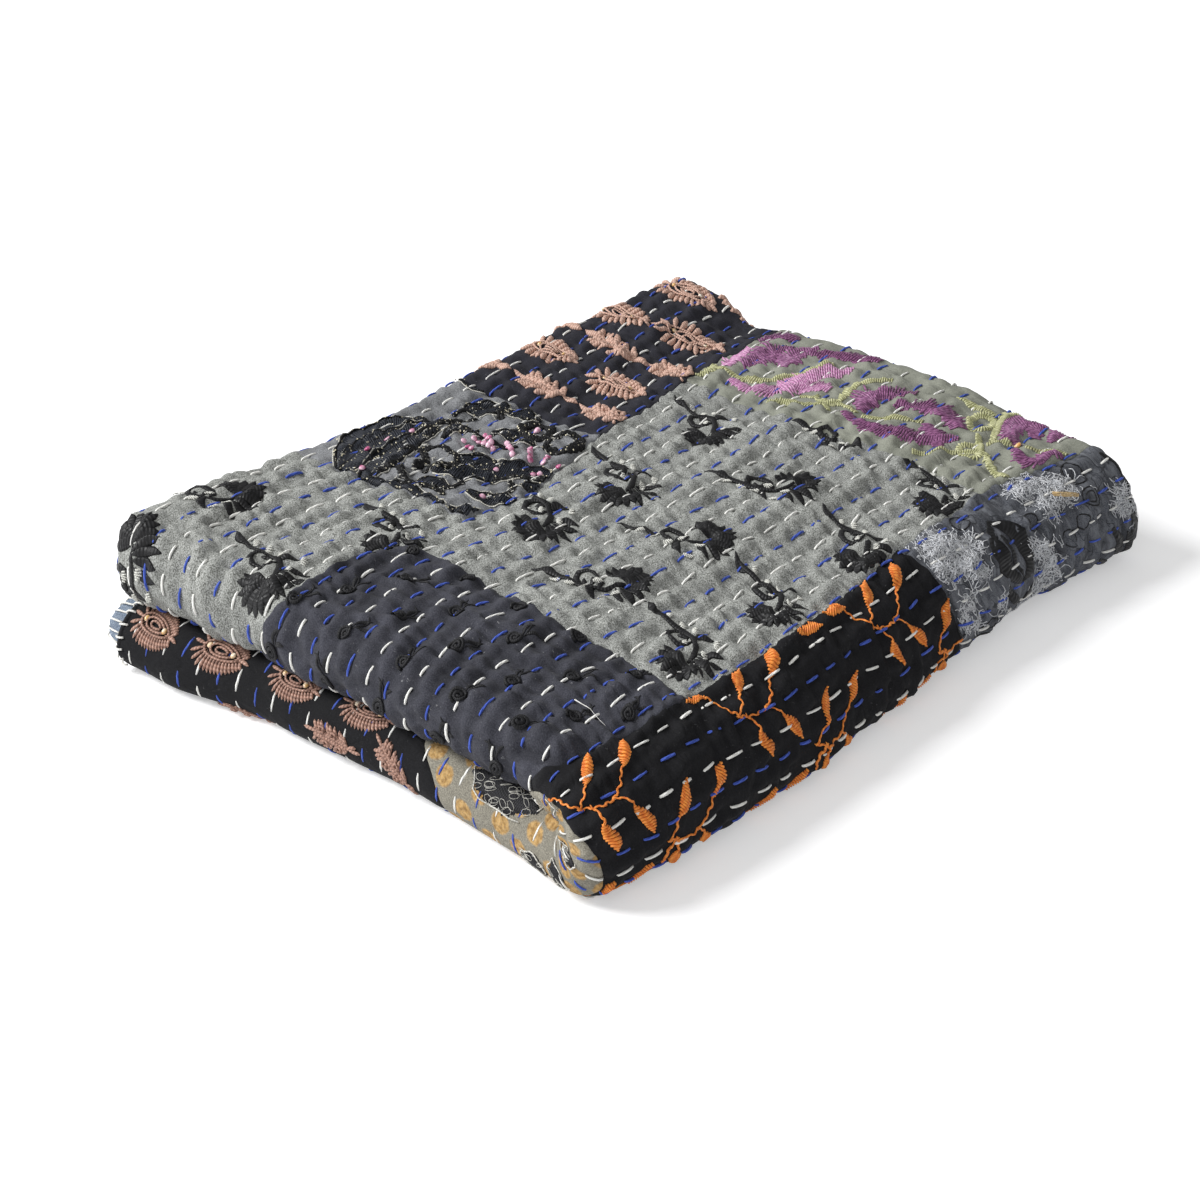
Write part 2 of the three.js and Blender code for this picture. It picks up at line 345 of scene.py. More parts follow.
def inside(name, along, across):
    """How far a place lies inside a patch, in millimetres: negative outside."""
    low_across, high_across, low_along, high_along = PATCHES[name][1:5]
    return np.minimum.reduce([
        across - seam_line(low_across, along), seam_line(high_across, along) - across,
        along - seam_line(low_along, across), seam_line(high_along, across) - along])


# ---------------------------------------------------------------- the quilted relief
ROW_START = 28.0  # a row of blue stitches lies on the seam over the big fold
# How far the rows leave the straight, half way across the top: (along, shift across).
ROW_DRIFT = [(-62, 22), (-20, 15), (6, 8), (30, 13), (58, 19), (80, 16), (100, 12), (130, 6), (170, 1),
             (220, 0), (340, 1), (440, 4)]
# Soft creases: (along, across, heading in degrees, half length, half width, height).
CREASES = [
    (5, 46, -64, 18, 3.0, -5.0), (13, 54, -60, 20, 6.0, 4.0), (-2, 14, 92, 40, 4.5, 2.6),
    (-13, -12, 84, 30, 5.0, -3.4), (-24, -40, 80, 34, 6.0, 1.6), (-16, 60, 20, 26, 4.0, -1.8),
    (20, 292, 62, 30, 5.0, 1.8), (40, 322, 12, 44, 5.0, 1.8), (66, 300, 8, 40, 4.0, -1.5),
    (-6, 262, 40, 30, 5.0, 1.6), (-10, 285, 20, 26, 4.0, -1.6), (120, 252, 14, 60, 6.0, 1.4),
    (250, 150, 10, 70, 6.0, 1.0), (300, 90, -16, 60, 5.0, 1.2), (180, 60, 5, 60, 5.0, 1.0),
    (395, 120, -60, 40, 7.0, 1.6), (420, 60, 74, 36, 6.0, -1.6), (360, 300, -36, 60, 8.0, 1.4),
    (150, 36, 86, 30, 5.0, 1.3), (76, 20, 84, 34, 5.0, 1.3), (-18, 150, 70, 40, 6.0, 1.3),
    (-14, 206, 60, 32, 5.0, 1.5), (-20, -200, 84, 26, 6.0, 1.2), (-12, -262, 60, 26, 5.0, -1.2),
    (30, 170, 30, 44, 6.0, 1.2), (60, 120, -20, 40, 6.0, 1.0),
]
# Pleats round the big fold: (along at the crown, lean, from across, to across, run-up, height).
PLEATS = [
    (210, 0.10, 26, -58, 20, 3.0), (223, 0.14, 12, -62, 11, 2.2), (240, 0.22, 0, -60, 12, 1.8),
    (103, 0.12, -4, -66, 22, 1.8), (160, 0.06, 6, -66, 26, 1.3), (60, -0.05, 10, -60, 24, 1.2),
    (285, -0.02, 10, -66, 9, 2.0), (299, -0.20, 6, -66, 10, 2.2), (312, -0.10, -4, -66, 9, 2.0),
    (350, -0.36, 26, -62, 16, 2.6), (363, -0.16, 8, -66, 9, 2.4), (373, 0.0, 10, -66, 8, 2.6),
    (383, 0.03, 4, -66, 8, 2.4), (394, -0.02, 8, -66, 9, 2.6), (406, -0.06, 8, -66, 9, 2.4),
    (418, -0.15, 0, -60, 10, 2.0),
]
RIPPLE_WAVES = 7
TOP_MIDDLE = 160.0  # "across" of the rows that leave the straight most
DRIFT_REACH = 80.0  # how far to either side of them the drift is felt
CORNER_RISE = 20.0  # how far the rows rise towards the far corner
GROOVE_WIDTH = 0.27  # as a share of the distance between two rows
HOLD_EDGE = 1.2  # a stitch's hold on the layers starts and ends this softly
DIMPLE_REACH = 2.6
DIMPLE_DEPTH = 0.6  # as a share of the puff
CALMEST = 0.28  # share of the quilting's height that is left at the outer rolls
FLATTEST = 0.12  # share that is left on the underside, and of hollows below the deepest
PILLOW_LENGTH = 11.5  # about how far apart the short creases between two rows stand
PILLOW_HEIGHT = 1.7
PLEAT_DROP = 2.4  # a pleat falls back over this width
DEEPEST = -1.3  # hollows below this are much flattened, to stay above the backing


def ripple(p, q, size, seed):
    """Smooth unit noise: the sum of a few plane waves of about one length in seeded directions."""
    rng = np.random.default_rng(seed)
    heading = rng.uniform(0, 2 * math.pi, RIPPLE_WAVES)
    number = 2 * math.pi / (size * rng.uniform(0.7, 1.5, RIPPLE_WAVES))
    phase = rng.uniform(0, 2 * math.pi, RIPPLE_WAVES)
    total = 0.0
    for turn, n, f in zip(heading, number, phase):
        total = total + np.sin(n * (p * math.cos(turn) + q * math.sin(turn)) + f)
    return total / math.sqrt(RIPPLE_WAVES / 2)


def row_drift(along, across):
    """How far the rows leave the straight: the table fades away from the middle of the top, a rise leads
    to the far corner, and two slow waves are added."""
    share = 0.22 + 0.78 * np.exp(-(((across - TOP_MIDDLE) / DRIFT_REACH) ** 2))
    rise = CORNER_RISE * smooth((along - 260) / 150) * smooth((across - 120) / 120)
    waves = 0.8 * np.sin(along / 31 + across / 63) + 0.6 * np.sin(along / 13.5 - across / 47 + 1.7)
    return seam_line(ROW_DRIFT, along) * share + rise + waves


def stitch_phase(row, along, step):
    """Counts the stitches of a row: whole numbers are where a stitch comes up."""
    wander = 4.5 * np.sin(along / 47 + 2.1 * row) + 2.2 * np.sin(along / 19 + 5.3 * row)
    return (along + wander) / step + np.mod(row * 0.618, 1.0)


def creases(along, across):
    """Each crease is a ridge (or trough) with a bell section, fading towards its two ends."""
    total = 0.0
    for c_along, c_across, heading, length, width, height in CREASES:
        turn = math.radians(heading)
        run = (along - c_along) * math.cos(turn) + (across - c_across) * math.sin(turn)
        off = (across - c_across) * math.cos(turn) - (along - c_along) * math.sin(turn)
        total = total + height * np.exp(-((run / length) ** 4) - (off / width) ** 2)
    return total


def pleats(along, across):
    """A pleat climbs slowly up to its crown line and drops back over a short width."""
    total = 0.0
    for place, lean, top, bottom, run_up, height in PLEATS:
        off = along - place - lean * across + 6.0 * np.clip(-across / 60, 0, 1) ** 2
        climb = np.clip((off + run_up) / run_up, 0, 1) ** 1.6
        drop = 1 - smooth(off / PLEAT_DROP)
        window = smooth((top - across) / 22) * smooth((across - bottom + 14) / 14)
        total = total + height * climb * drop * window
    return total


def relief(along, across):
    """Height of the quilted surface over the plain skin, in millimetres.

    Under each stitch the layers are held down in a short groove; round it they puff up, more in some
    places than in others. Where a stitch goes in or comes out the cloth is pulled into a dimple.
    Between two rows the gathered cloth stands in pillows, with short sharp creases across the rows.
    All this calms down towards the outer rolls and the floor. Broad waves, creases and pleats are
    added. On the underside all of it is pressed nearly flat.
    """
    quilt = bpy.context.scene.throw_quilting
    pitch, step = quilt.row_pitch / MM, quilt.stitch_step / MM
    row = (across - ROW_START - row_drift(along, across)) / pitch
    nearest = np.round(row)
    off = (row - nearest) * pitch
    phase = np.mod(stitch_phase(nearest, along, step), 1.0) * step
    end = quilt.stitch_share * step
    to_end = np.minimum(np.minimum(phase, step - phase), np.abs(phase - end))
    middle = np.minimum(np.abs(phase - end / 2), np.abs(phase - step - end / 2))
    held = smooth((end / 2 + HOLD_EDGE - middle) / (2 * HOLD_EDGE))
    groove = np.exp(-((off / (GROOVE_WIDTH * pitch)) ** 2)) * (0.2 + 0.8 * held)
    swell = np.clip(0.95 + 0.5 * ripple(along / 1.4, across, 17, 5), 0.15, 1.8)
    dimple = np.exp(-(off**2 + to_end**2) / DIMPLE_REACH**2)
    gathers = (0.9 * np.abs(ripple(along, across / 2.4, 15.0, 8))
               + 0.35 * np.abs(ripple(along, across / 1.6, 9.0, 9)))
    gap = np.floor(row)
    place = along + 5.0 * np.sin(along / 23 + 3.7 * gap) + 3.0 * np.sin(along / 9.7 + 1.3 * gap) + 7.3 * gap
    pillow = (np.abs(np.sin(math.pi * place / PILLOW_LENGTH)) - 0.7) * np.sin(math.pi * (row - gap)) ** 2
    fine = np.abs(ripple(along, across / 7, 8.0, 21)) * smooth((across + 8) / 16) * smooth((72 - across) / 24)
    quilted = quilt.puff / MM * ((1 - groove) * swell - DIMPLE_DEPTH * dimple)
    quilted = quilted + gathers * (0.45 + 0.4 * groove)
    quilted = quilted + PILLOW_HEIGHT * pillow * (0.7 + 0.5 * swell) + 0.6 * fine
    calm = smooth((across - BIG_FOLD_START - 10) / 75) * smooth((ROLL_ALONG + 6 - along) / 50)
    calm = calm * smooth((ROLL_ACROSS + 6 - across) / 60) * smooth((along + 38) / 60)
    calm = CALMEST + (1 - CALMEST) * calm
    broad = 0.7 * ripple(along / 1.5, across, 62, 2)
    height = quilted * calm - 0.4 + broad + creases(along, across) + pleats(along, across)
    height = np.maximum(height, DEEPEST + FLATTEST * (height - DEEPEST))
    pressed = smooth((across - BIG_FOLD_START + 2) / 44)
    valley = smooth((along + 62) / 30)
    return height * (FLATTEST + (1 - FLATTEST) * pressed * (0.3 + 0.7 * valley)) - 0.35 * (1 - pressed)


def covered(along, across):
    """How far inside one of the patches that lie over the heather cloth a place is: negative outside."""
    return np.maximum.reduce([inside(name, along, across) for name in PATCHES if name != "heather"])


def well_covered(along, across):
    """The same as a soft maximum, which stays above zero on the seams where two of those patches meet."""
    depths = np.array([inside(name, along, across) for name in PATCHES if name != "heather"])
    return 3.0 * np.log(np.sum(np.exp(depths / 3.0), axis=0))


def face_level(along, across):
    """0 where a patch lies on top, lower where the heather cloth itself is the outer face."""
    return PATCHES["heather"][5] * (covered(along, across) < 0)


def on_face(along, across, height):
    """A point this high over the puckered face of whichever patch lies there, in metres."""
    return skin_point(along, across, relief(along, across) + face_level(along, across) + height)


# ---------------------------------------------------------------- meshes
def new_mesh(name, points, corners, sizes, uv, smooth_faces=True):
    """A mesh object from points, face corners in one long list, faces' sizes and a UV for each corner."""
    mesh = bpy.data.meshes.new(name)
    mesh.vertices.add(len(points))
    mesh.vertices.foreach_set("co", np.asarray(points, np.float32).ravel())
    mesh.loops.add(len(corners))
    mesh.loops.foreach_set("vertex_index", np.asarray(corners, np.int32))
    mesh.polygons.add(len(sizes))
    starts = np.concatenate([[0], np.cumsum(sizes)[:-1]])
    mesh.polygons.foreach_set("loop_start", starts.astype(np.int32))
    mesh.polygons.foreach_set("loop_total", np.asarray(sizes, np.int32))
    mesh.polygons.foreach_set("use_smooth", np.broadcast_to(smooth_faces, len(sizes)).astype(bool))
    mesh.uv_layers.new(name="Cloth").data.foreach_set("uv", np.asarray(uv, np.float32).ravel())
    mesh.update(calc_edges=True)
    mesh.validate()
    piece = bpy.data.objects.new(name, mesh)
    bpy.context.scene.collection.objects.link(piece)
    return piece


def closed_sheet(name, outer, inner, uv):
    """Two equal grids of points joined round their rims into one closed sheet, faces outwards."""
    rows, columns = outer.shape[:2]
    index = np.arange(rows * columns).reshape(rows, columns)
    below = index + rows * columns
    a, b, c, d = index[:-1, :-1], index[1:, :-1], index[1:, 1:], index[:-1, 1:]
    e, f, g, h = below[:-1, :-1], below[1:, :-1], below[1:, 1:], below[:-1, 1:]
    faces = [np.stack([a, b, c, d], -1).reshape(-1, 4), np.stack([e, h, g, f], -1).reshape(-1, 4)]
    for near, under in (
        (index[:, 0], below[:, 0]), (index[::-1, -1], below[::-1, -1]),
        (index[0, ::-1], below[0, ::-1]), (index[-1, :], below[-1, :]),
    ):
        faces.append(np.stack([near[:-1], under[:-1], under[1:], near[1:]], -1))
    counts = [len(part) for part in faces]
    flat_rim = np.repeat([True, True, False, False, False, False], counts)
    corners = np.concatenate(faces).ravel()
    points = np.concatenate([outer.reshape(-1, 3), inner.reshape(-1, 3)])
    flat_uv = np.concatenate([uv.reshape(-1, 2)] * 2)[corners]
    return new_mesh(name, points, corners, np.full(len(corners) // 4, 4), flat_uv, flat_rim)


def tube_faces(count, length, sides, first):
    """Corners, face sizes and ring/side numbers for tubes of rings, with a flat cap at each end."""
    tube, ring, side = np.meshgrid(np.arange(count), np.arange(length - 1), np.arange(sides), indexing="ij")
    start = (tube * length + ring) * sides + first
    after = (side + 1) % sides
    quads = np.stack([start + side, start + after, start + sides + after, start + sides + side], -1)
    quad_uv = np.stack([np.stack([side, ring], -1), np.stack([side + 1, ring], -1),
                        np.stack([side + 1, ring + 1], -1), np.stack([side, ring + 1], -1)], -2)
    base = np.arange(count)[:, None] * length * sides + first
    end = base + (length - 1) * sides + np.arange(sides)
    begin = base + np.arange(sides)[::-1]
    caps = np.concatenate([begin, end])
    cap_ring = np.concatenate([np.zeros_like(begin), np.full_like(end, length - 1)])
    cap_uv = np.stack([np.zeros_like(caps), cap_ring], -1)
    corners = np.concatenate([quads.ravel(), caps.ravel()])
    sizes = np.concatenate([np.full(quads[..., 0].size, 4), np.full(2 * count, sides)])
    return corners, sizes, np.concatenate([quad_uv.reshape(-1, 2), cap_uv.reshape(-1, 2)])


PATCH_MARGIN = 0.6  # threads end this far inside the seams of their patch


class Threads:
    """Collects threads, satin shapes and beads, and joins them into one mesh.

    A thread is a tube of rings carried along a path on the cloth. Each ring is an ellipse: half its
    width lies across the path, on the face of the cloth, and half its height stands over it.
    """

    def __init__(self):
        self.points, self.corners, self.sizes, self.uv = [], [], [], []
        self.total = 0

    def add(self, path, half_width, half_height, lift, sides=6, stiff=False):
        """Rings follow the puckers point by point, or only by their centres where a thread is stiff."""
        path = np.asarray(path, float)
        count, length = path.shape[:2]
        if not count:
            return
        shape = (count, length)
        half_width, half_height, lift = (
            np.broadcast_to(np.asarray(x, float), shape) for x in (half_width, half_height, lift))
        step = np.gradient(path, axis=1)
        size = np.maximum(np.hypot(step[..., 0], step[..., 1]), 1e-6)
        side = np.stack([-step[..., 1] / size, step[..., 0] / size], -1)
        turn = 2 * math.pi * np.arange(sides) / sides
        ring = path[:, :, None, :] + side[:, :, None, :] * (half_width[..., None] * np.cos(turn))[..., None]
        height = lift[..., None] + half_height[..., None] * np.sin(turn)
        if stiff:
            base = relief(path[..., 0], path[..., 1]) + face_level(path[..., 0], path[..., 1])
            chord = base[:, :1] + (base[:, -1:] - base[:, :1]) * np.linspace(0, 1, length)
            base = chord + 0.75 * (base - chord).mean(1, keepdims=True)
            rings = skin_point(ring[..., 0], ring[..., 1], base[..., None] + height)
        else:
            rings = on_face(ring[..., 0], ring[..., 1], height)
        self._join(rings, path, sides)

    def add_in(self, patch, paths, half_width, half_height, lift, sides, margin=PATCH_MARGIN):
        """The same, for paths that are cut off where they leave a patch."""
        self.add(keep_inside(patch, paths, margin=margin)[0], half_width, half_height, lift, sides)

    def add_satin(self, patch, stitches, half_width, half_height, padding):
        """Satin stitches rise over the padding of their shape: half a sine from edge to edge."""
        arch = np.sin(math.pi * np.linspace(0.04, 0.96, stitches.shape[1]))
        self.add_in(patch, stitches, half_width, half_height, padding * arch - 0.15, 5)

    def add_free(self, centres, half_width, sides):
        """Tubes whose centre lines are points in space, in metres: they cross edges or leave the cloth."""
        tangent = np.gradient(centres, axis=1)
        tangent /= np.linalg.norm(tangent, axis=-1, keepdims=True) + 1e-12
        guide = np.cross(tangent, np.roll(tangent, 1, axis=-1) + [0.3, -0.2, 0.5])
        guide = guide.mean(1, keepdims=True) + [0.0, 0.0, 1e-6]
        guide = np.cross(tangent.mean(1, keepdims=True) + 1e-9, guide)
        first = np.cross(tangent, guide + 0 * tangent)
        first /= np.linalg.norm(first, axis=-1, keepdims=True) + 1e-12
        second = np.cross(tangent, first)
        turn = 2 * math.pi * np.arange(sides) / sides
        radius = np.broadcast_to(half_width, centres.shape[:2])[..., None, None] * MM
        ring = centres[:, :, None, :] + radius * (
            first[:, :, None, :] * np.cos(turn)[:, None] + second[:, :, None, :] * np.sin(turn)[:, None])
        self._join(ring, centres / MM, sides)

    def _join(self, rings, path, sides):
        """Adds tubes through rings of points. Their UV is turns round and centimetres along the path."""
        count, length = rings.shape[:2]
        corners, sizes, grid = tube_faces(count, length, sides, self.total)
        steps = np.linalg.norm(np.diff(path, axis=1), axis=-1)
        run = np.concatenate([np.zeros((count, 1)), np.cumsum(steps, axis=1)], axis=1)
        vertex = corners - self.total
        thread, place = vertex // (length * sides), grid[:, 1]
        self.points.append(rings.reshape(-1, 3))
        self.corners.append(corners)
        self.sizes.append(sizes)
        self.uv.append(np.stack([grid[:, 0] / sides, run[thread, place] * 0.1], -1))
        self.total += count * length * sides

    def build(self, name, material, slot):
        """Makes one mesh of all that was added."""
        piece = new_mesh(name, *(np.concatenate(x) for x in (self.points, self.corners, self.sizes, self.uv)))
        piece.data.materials.append(material)
        settle(piece)
        return piece


def settle(piece):
    """Every piece rides on the packet's one body and stands for its solid, which is hidden."""
    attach(piece, "root")
    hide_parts(NODE)


# ---------------------------------------------------------------- drawing on the cloth
def curve(points, count):
    """A smooth line through a few points: a cubic with each point's slope from its two neighbours."""
    points = np.asarray(points, float)
    slopes = np.gradient(points, axis=0)
    place = np.linspace(0, len(points) - 1, count)
    index = np.minimum(place.astype(int), len(points) - 2)
    t = (place - index)[:, None]
    p, q, m, n = points[index], points[index + 1], slopes[index], slopes[index + 1]
    return ((2 * t**3 - 3 * t**2 + 1) * p + (t**3 - 2 * t**2 + t) * m
            + (3 * t**2 - 2 * t**3) * q + (t**3 - t**2) * n)


def even_curve(points, step):
    """The same line, as points that are one step apart."""
    line = curve(points, 12 * len(points))
    run = np.concatenate([[0.0], np.cumsum(np.linalg.norm(np.diff(line, axis=0), axis=1))])
    places = np.linspace(0, run[-1], max(int(round(run[-1] / step)) + 1, 2))
    return np.stack([np.interp(places, run, line[:, k]) for k in (0, 1)], -1)


def unit(angle):
    """The step of length 1 that heads at an angle in radians."""
    return np.stack([np.cos(angle), np.sin(angle)], -1)


def ray(x, y, angle, reach):
    """Three points of a straight line from a place: its start, middle and end."""
    step_x, step_y = reach * math.cos(angle), reach * math.sin(angle)
    return [(x, y), (x + 0.5 * step_x, y + 0.5 * step_y), (x + step_x, y + step_y)]


def spine_frame(points, pitch):
    """Even points along a line, with the unit steps forwards and to the left at each."""
    spine = even_curve(points, pitch)
    slope = np.gradient(spine, axis=0)
    slope /= np.linalg.norm(slope, axis=1, keepdims=True) + 1e-9
    return spine, slope, np.stack([-slope[:, 1], slope[:, 0]], -1)


def profile(kind, count):
    """Width of a shape from its first end to its last, as shares of its full width.

    A leaf swells like half a sine, a petal grows towards its far end, a line only narrows at its ends.
    """
    u = np.linspace(0, 1, count)
    if kind == "leaf":
        return np.sin(math.pi * np.clip(u, 0.02, 0.98)) ** 0.75
    if kind == "petal":
        return np.maximum(u**0.55 * (1 - u**7) * 1.12, 0.08)
    return np.clip(np.minimum(u, 1 - u) * 9, 0.35, 1.0)


def stamp(paths, places):
    """Copies of a motif's paths: places are rows of (along, across, turn in degrees, scale, flip)."""
    paths = np.asarray(paths, float)
    copies = []
    for along, across, turn, scale, flip in places:
        c, s = math.cos(math.radians(turn)) * scale, math.sin(math.radians(turn)) * scale
        x, y = paths[..., 0] * flip, paths[..., 1]
        copies.append(np.stack([along + x * c - y * s, across + x * s + y * c], -1))
    return np.concatenate(copies)


def in_sight(name, along, across):
    """How far inside a patch a place is, not counting the parts that another patch covers."""
    depth = inside(name, along, across)
    if name == "heather":
        depth = np.minimum(depth, -covered(along, across))
    return depth


def keep_inside(name, paths, *values, margin=PATCH_MARGIN):
    """Cuts paths off where they leave a patch, and drops those that never enter it.

    Values that go with the points of the paths, such as widths, are cut with them.
    """
    length = paths.shape[1]
    within = in_sight(name, paths[..., 0], paths[..., 1]) > margin
    used = within.sum(1) > 1
    paths, within = paths[used], within[used]
    first = within.argmax(1)
    last = length - 1 - within[:, ::-1].argmax(1)
    place = first[:, None] + (last - first)[:, None] * np.linspace(0, 1, length)
    low = np.minimum(place.astype(int), length - 2)
    share = place - low
    rows = np.arange(len(paths))[:, None]
    cut = paths[rows, low] * (1 - share[..., None]) + paths[rows, low + 1] * share[..., None]
    kept = [value[used][rows, low] * (1 - share) + value[used][rows, low + 1] * share for value in values]
    return (cut, *kept)


def comb(points, half_widths, pitch, lean=0.0, count=5, jitter=0.25, seed=0):
    """Satin stitch: threads laid side by side across a spine, each as long as the shape is wide there."""
    spine, slope, side = spine_frame(points, pitch)
    rng = np.random.default_rng(seed + len(spine))
    run = np.linspace(0, 1, len(spine))
    reach = np.interp(run, np.linspace(0, 1, len(half_widths)), half_widths)
    side = side + lean * slope
    shares = np.linspace(-1, 1, count)
    ends = reach[:, None] * shares[None, :] * (1 + jitter * rng.uniform(-0.5, 0.5, (len(spine), 1)))
    return spine[:, None, :] + side[:, None, :] * ends[..., None]


def links(points, pitch, length, sway):
    """Chain stitch: short overlapping links, leaning to one side and the other in turn."""
    spine, slope, side = spine_frame(points, pitch)
    side = side * np.where(np.arange(len(spine)) % 2, sway, -sway)[:, None]
    shares = np.linspace(-0.5, 0.5, 5)[None, :, None]
    bulge = side[:, None, :] * np.cos(math.pi * shares)
    return spine[:, None, :] + slope[:, None, :] * length * shares + bulge


def ring_path(x, y, radius, count):
    """A circle as a path."""
    angle = 2 * math.pi * np.linspace(0, 1, count)
    return (x, y) + radius * unit(angle)


def spiral_path(radius, turns, count):
    """A spiral that opens evenly from near its middle."""
    share = np.linspace(0.12, 1, count)
    angle = 2 * math.pi * turns * share
    return (radius * share)[:, None] * unit(angle)


# ---------------------------------------------------------------- materials
class Nodes:
    """Short ways to add nodes to a tree and link them."""

    def __init__(self, tree):
        self.tree = tree

    def add(self, kind, inputs=None, **settings):
        """A node with settings, and with values or sockets put into its inputs."""
        node = self.tree.nodes.new(kind)
        for key, value in settings.items():
            setattr(node, key, value)
        for key, value in (inputs or {}).items():
            self.put(node.inputs[key], value)
        return node

    def put(self, socket, value):
        """Links a socket, or sets a plain value."""
        if isinstance(value, bpy.types.NodeSocket):
            self.tree.links.new(value, socket)
        else:
            socket.default_value = value

    def math(self, operation, a, b=0.0, clamp=False):
        return self.add("ShaderNodeMath", {0: a, 1: b}, operation=operation, use_clamp=clamp).outputs[0]

    def times(self, a, b):
        return self.math("MULTIPLY", a, b)

    def plus(self, a, b, clamp=False):
        return self.math("ADD", a, b, clamp)

    def minus(self, a, b):
        return self.math("SUBTRACT", a, b)

    def off_middle(self, value):
        """How far a value lies from one half: 0 along winding lines, where the value is a noise."""
        return self.math("ABSOLUTE", self.minus(value, 0.5))

    def mix(self, share, a, b, blend="MIX"):
        """Mixes two colours, given as sockets or as values that linear() takes."""
        a, b = (linear(value) if isinstance(value, tuple) else value for value in (a, b))
        node = self.add("ShaderNodeMix", data_type="RGBA", blend_type=blend)
        for socket, value in ((node.inputs[0], share), (node.inputs[6], a), (node.inputs[7], b)):
            self.put(socket, value)
        return node.outputs[2]

    def span(self, value, low, high, to_low=0.0, to_high=1.0):
        """Carries the span from low to high over to another one, and holds its ends beyond."""
        return self.add("ShaderNodeMapRange", {
            "Value": value, "From Min": low, "From Max": high, "To Min": to_low, "To Max": to_high},
            clamp=True).outputs[0]

    def noise(self, vector, scale, detail, roughness=0.5, distortion=0.0):
        """Noise of 0 to 1 whose clouds are about one over the scale in size."""
        return self.add("ShaderNodeTexNoise", {
            "Vector": vector, "Scale": scale, "Detail": detail, "Roughness": roughness,
            "Distortion": distortion}).outputs["Fac"]

    def scaled(self, vector, scale, turn=0.0):
        """The vector turned about its third axis and scaled."""
        return self.add("ShaderNodeMapping", {
            "Vector": vector, "Rotation": (0.0, 0.0, turn), "Scale": scale}).outputs[0]

    def attribute(self, name):
        """A value stored on the mesh."""
        return self.add("ShaderNodeAttribute", attribute_name=name).outputs["Fac"]

    def group(self, name, make, inputs):
        """The outputs of a shared group, which is made when it is first asked for."""
        tree = bpy.data.node_groups.get(name) or make()
        return self.add("ShaderNodeGroup", inputs, node_tree=tree).outputs


def new_group(name, inputs):
    """A shader node group with inputs {name: default} that gives a colour, a roughness and a height."""
    tree = bpy.data.node_groups.new(name, "ShaderNodeTree")
    for key, default in inputs.items():
        kind = "NodeSocketFloat"
        if isinstance(default, tuple):
            kind = "NodeSocketColor" if len(default) == 4 else "NodeSocketVector"
        socket = tree.interface.new_socket(key, in_out="INPUT", socket_type=kind)
        socket.default_value = default
    for key, kind in (("Color", "NodeSocketColor"), ("Roughness", "NodeSocketFloat"),
                      ("Height", "NodeSocketFloat")):
        tree.interface.new_socket(key, in_out="OUTPUT", socket_type=kind)
    nodes = Nodes(tree)
    return nodes, nodes.add("NodeGroupInput").outputs


WEAVE_PITCH = 0.00072  # metres from one yarn of the cotton to the next but one
LINT_COLOUR = (0.45, 0.45, 0.46, 1.0)
CLOTH_BUMP = 0.00025  # metres
# Scales of the noises, per metre: what is drawn with each is about one over it in size.
GRAIN, COARSE_GRAIN, CLOUDS = 1500.0, 420.0, 34.0
LINT, LINT_FIELDS = 700.0, 60.0
CRUMPLES, GATHERS, GATHER_FIELDS = 210.0, 105.0, 55.0
DYE_CLOUDS = 380.0
# Depths of what the bump draws, against each other.
WEAVE_DEPTH, GRAIN_DEPTH, CRUMPLE_DEPTH, CREASE_DEPTH = 0.10, 0.45, 3.4, 2.0


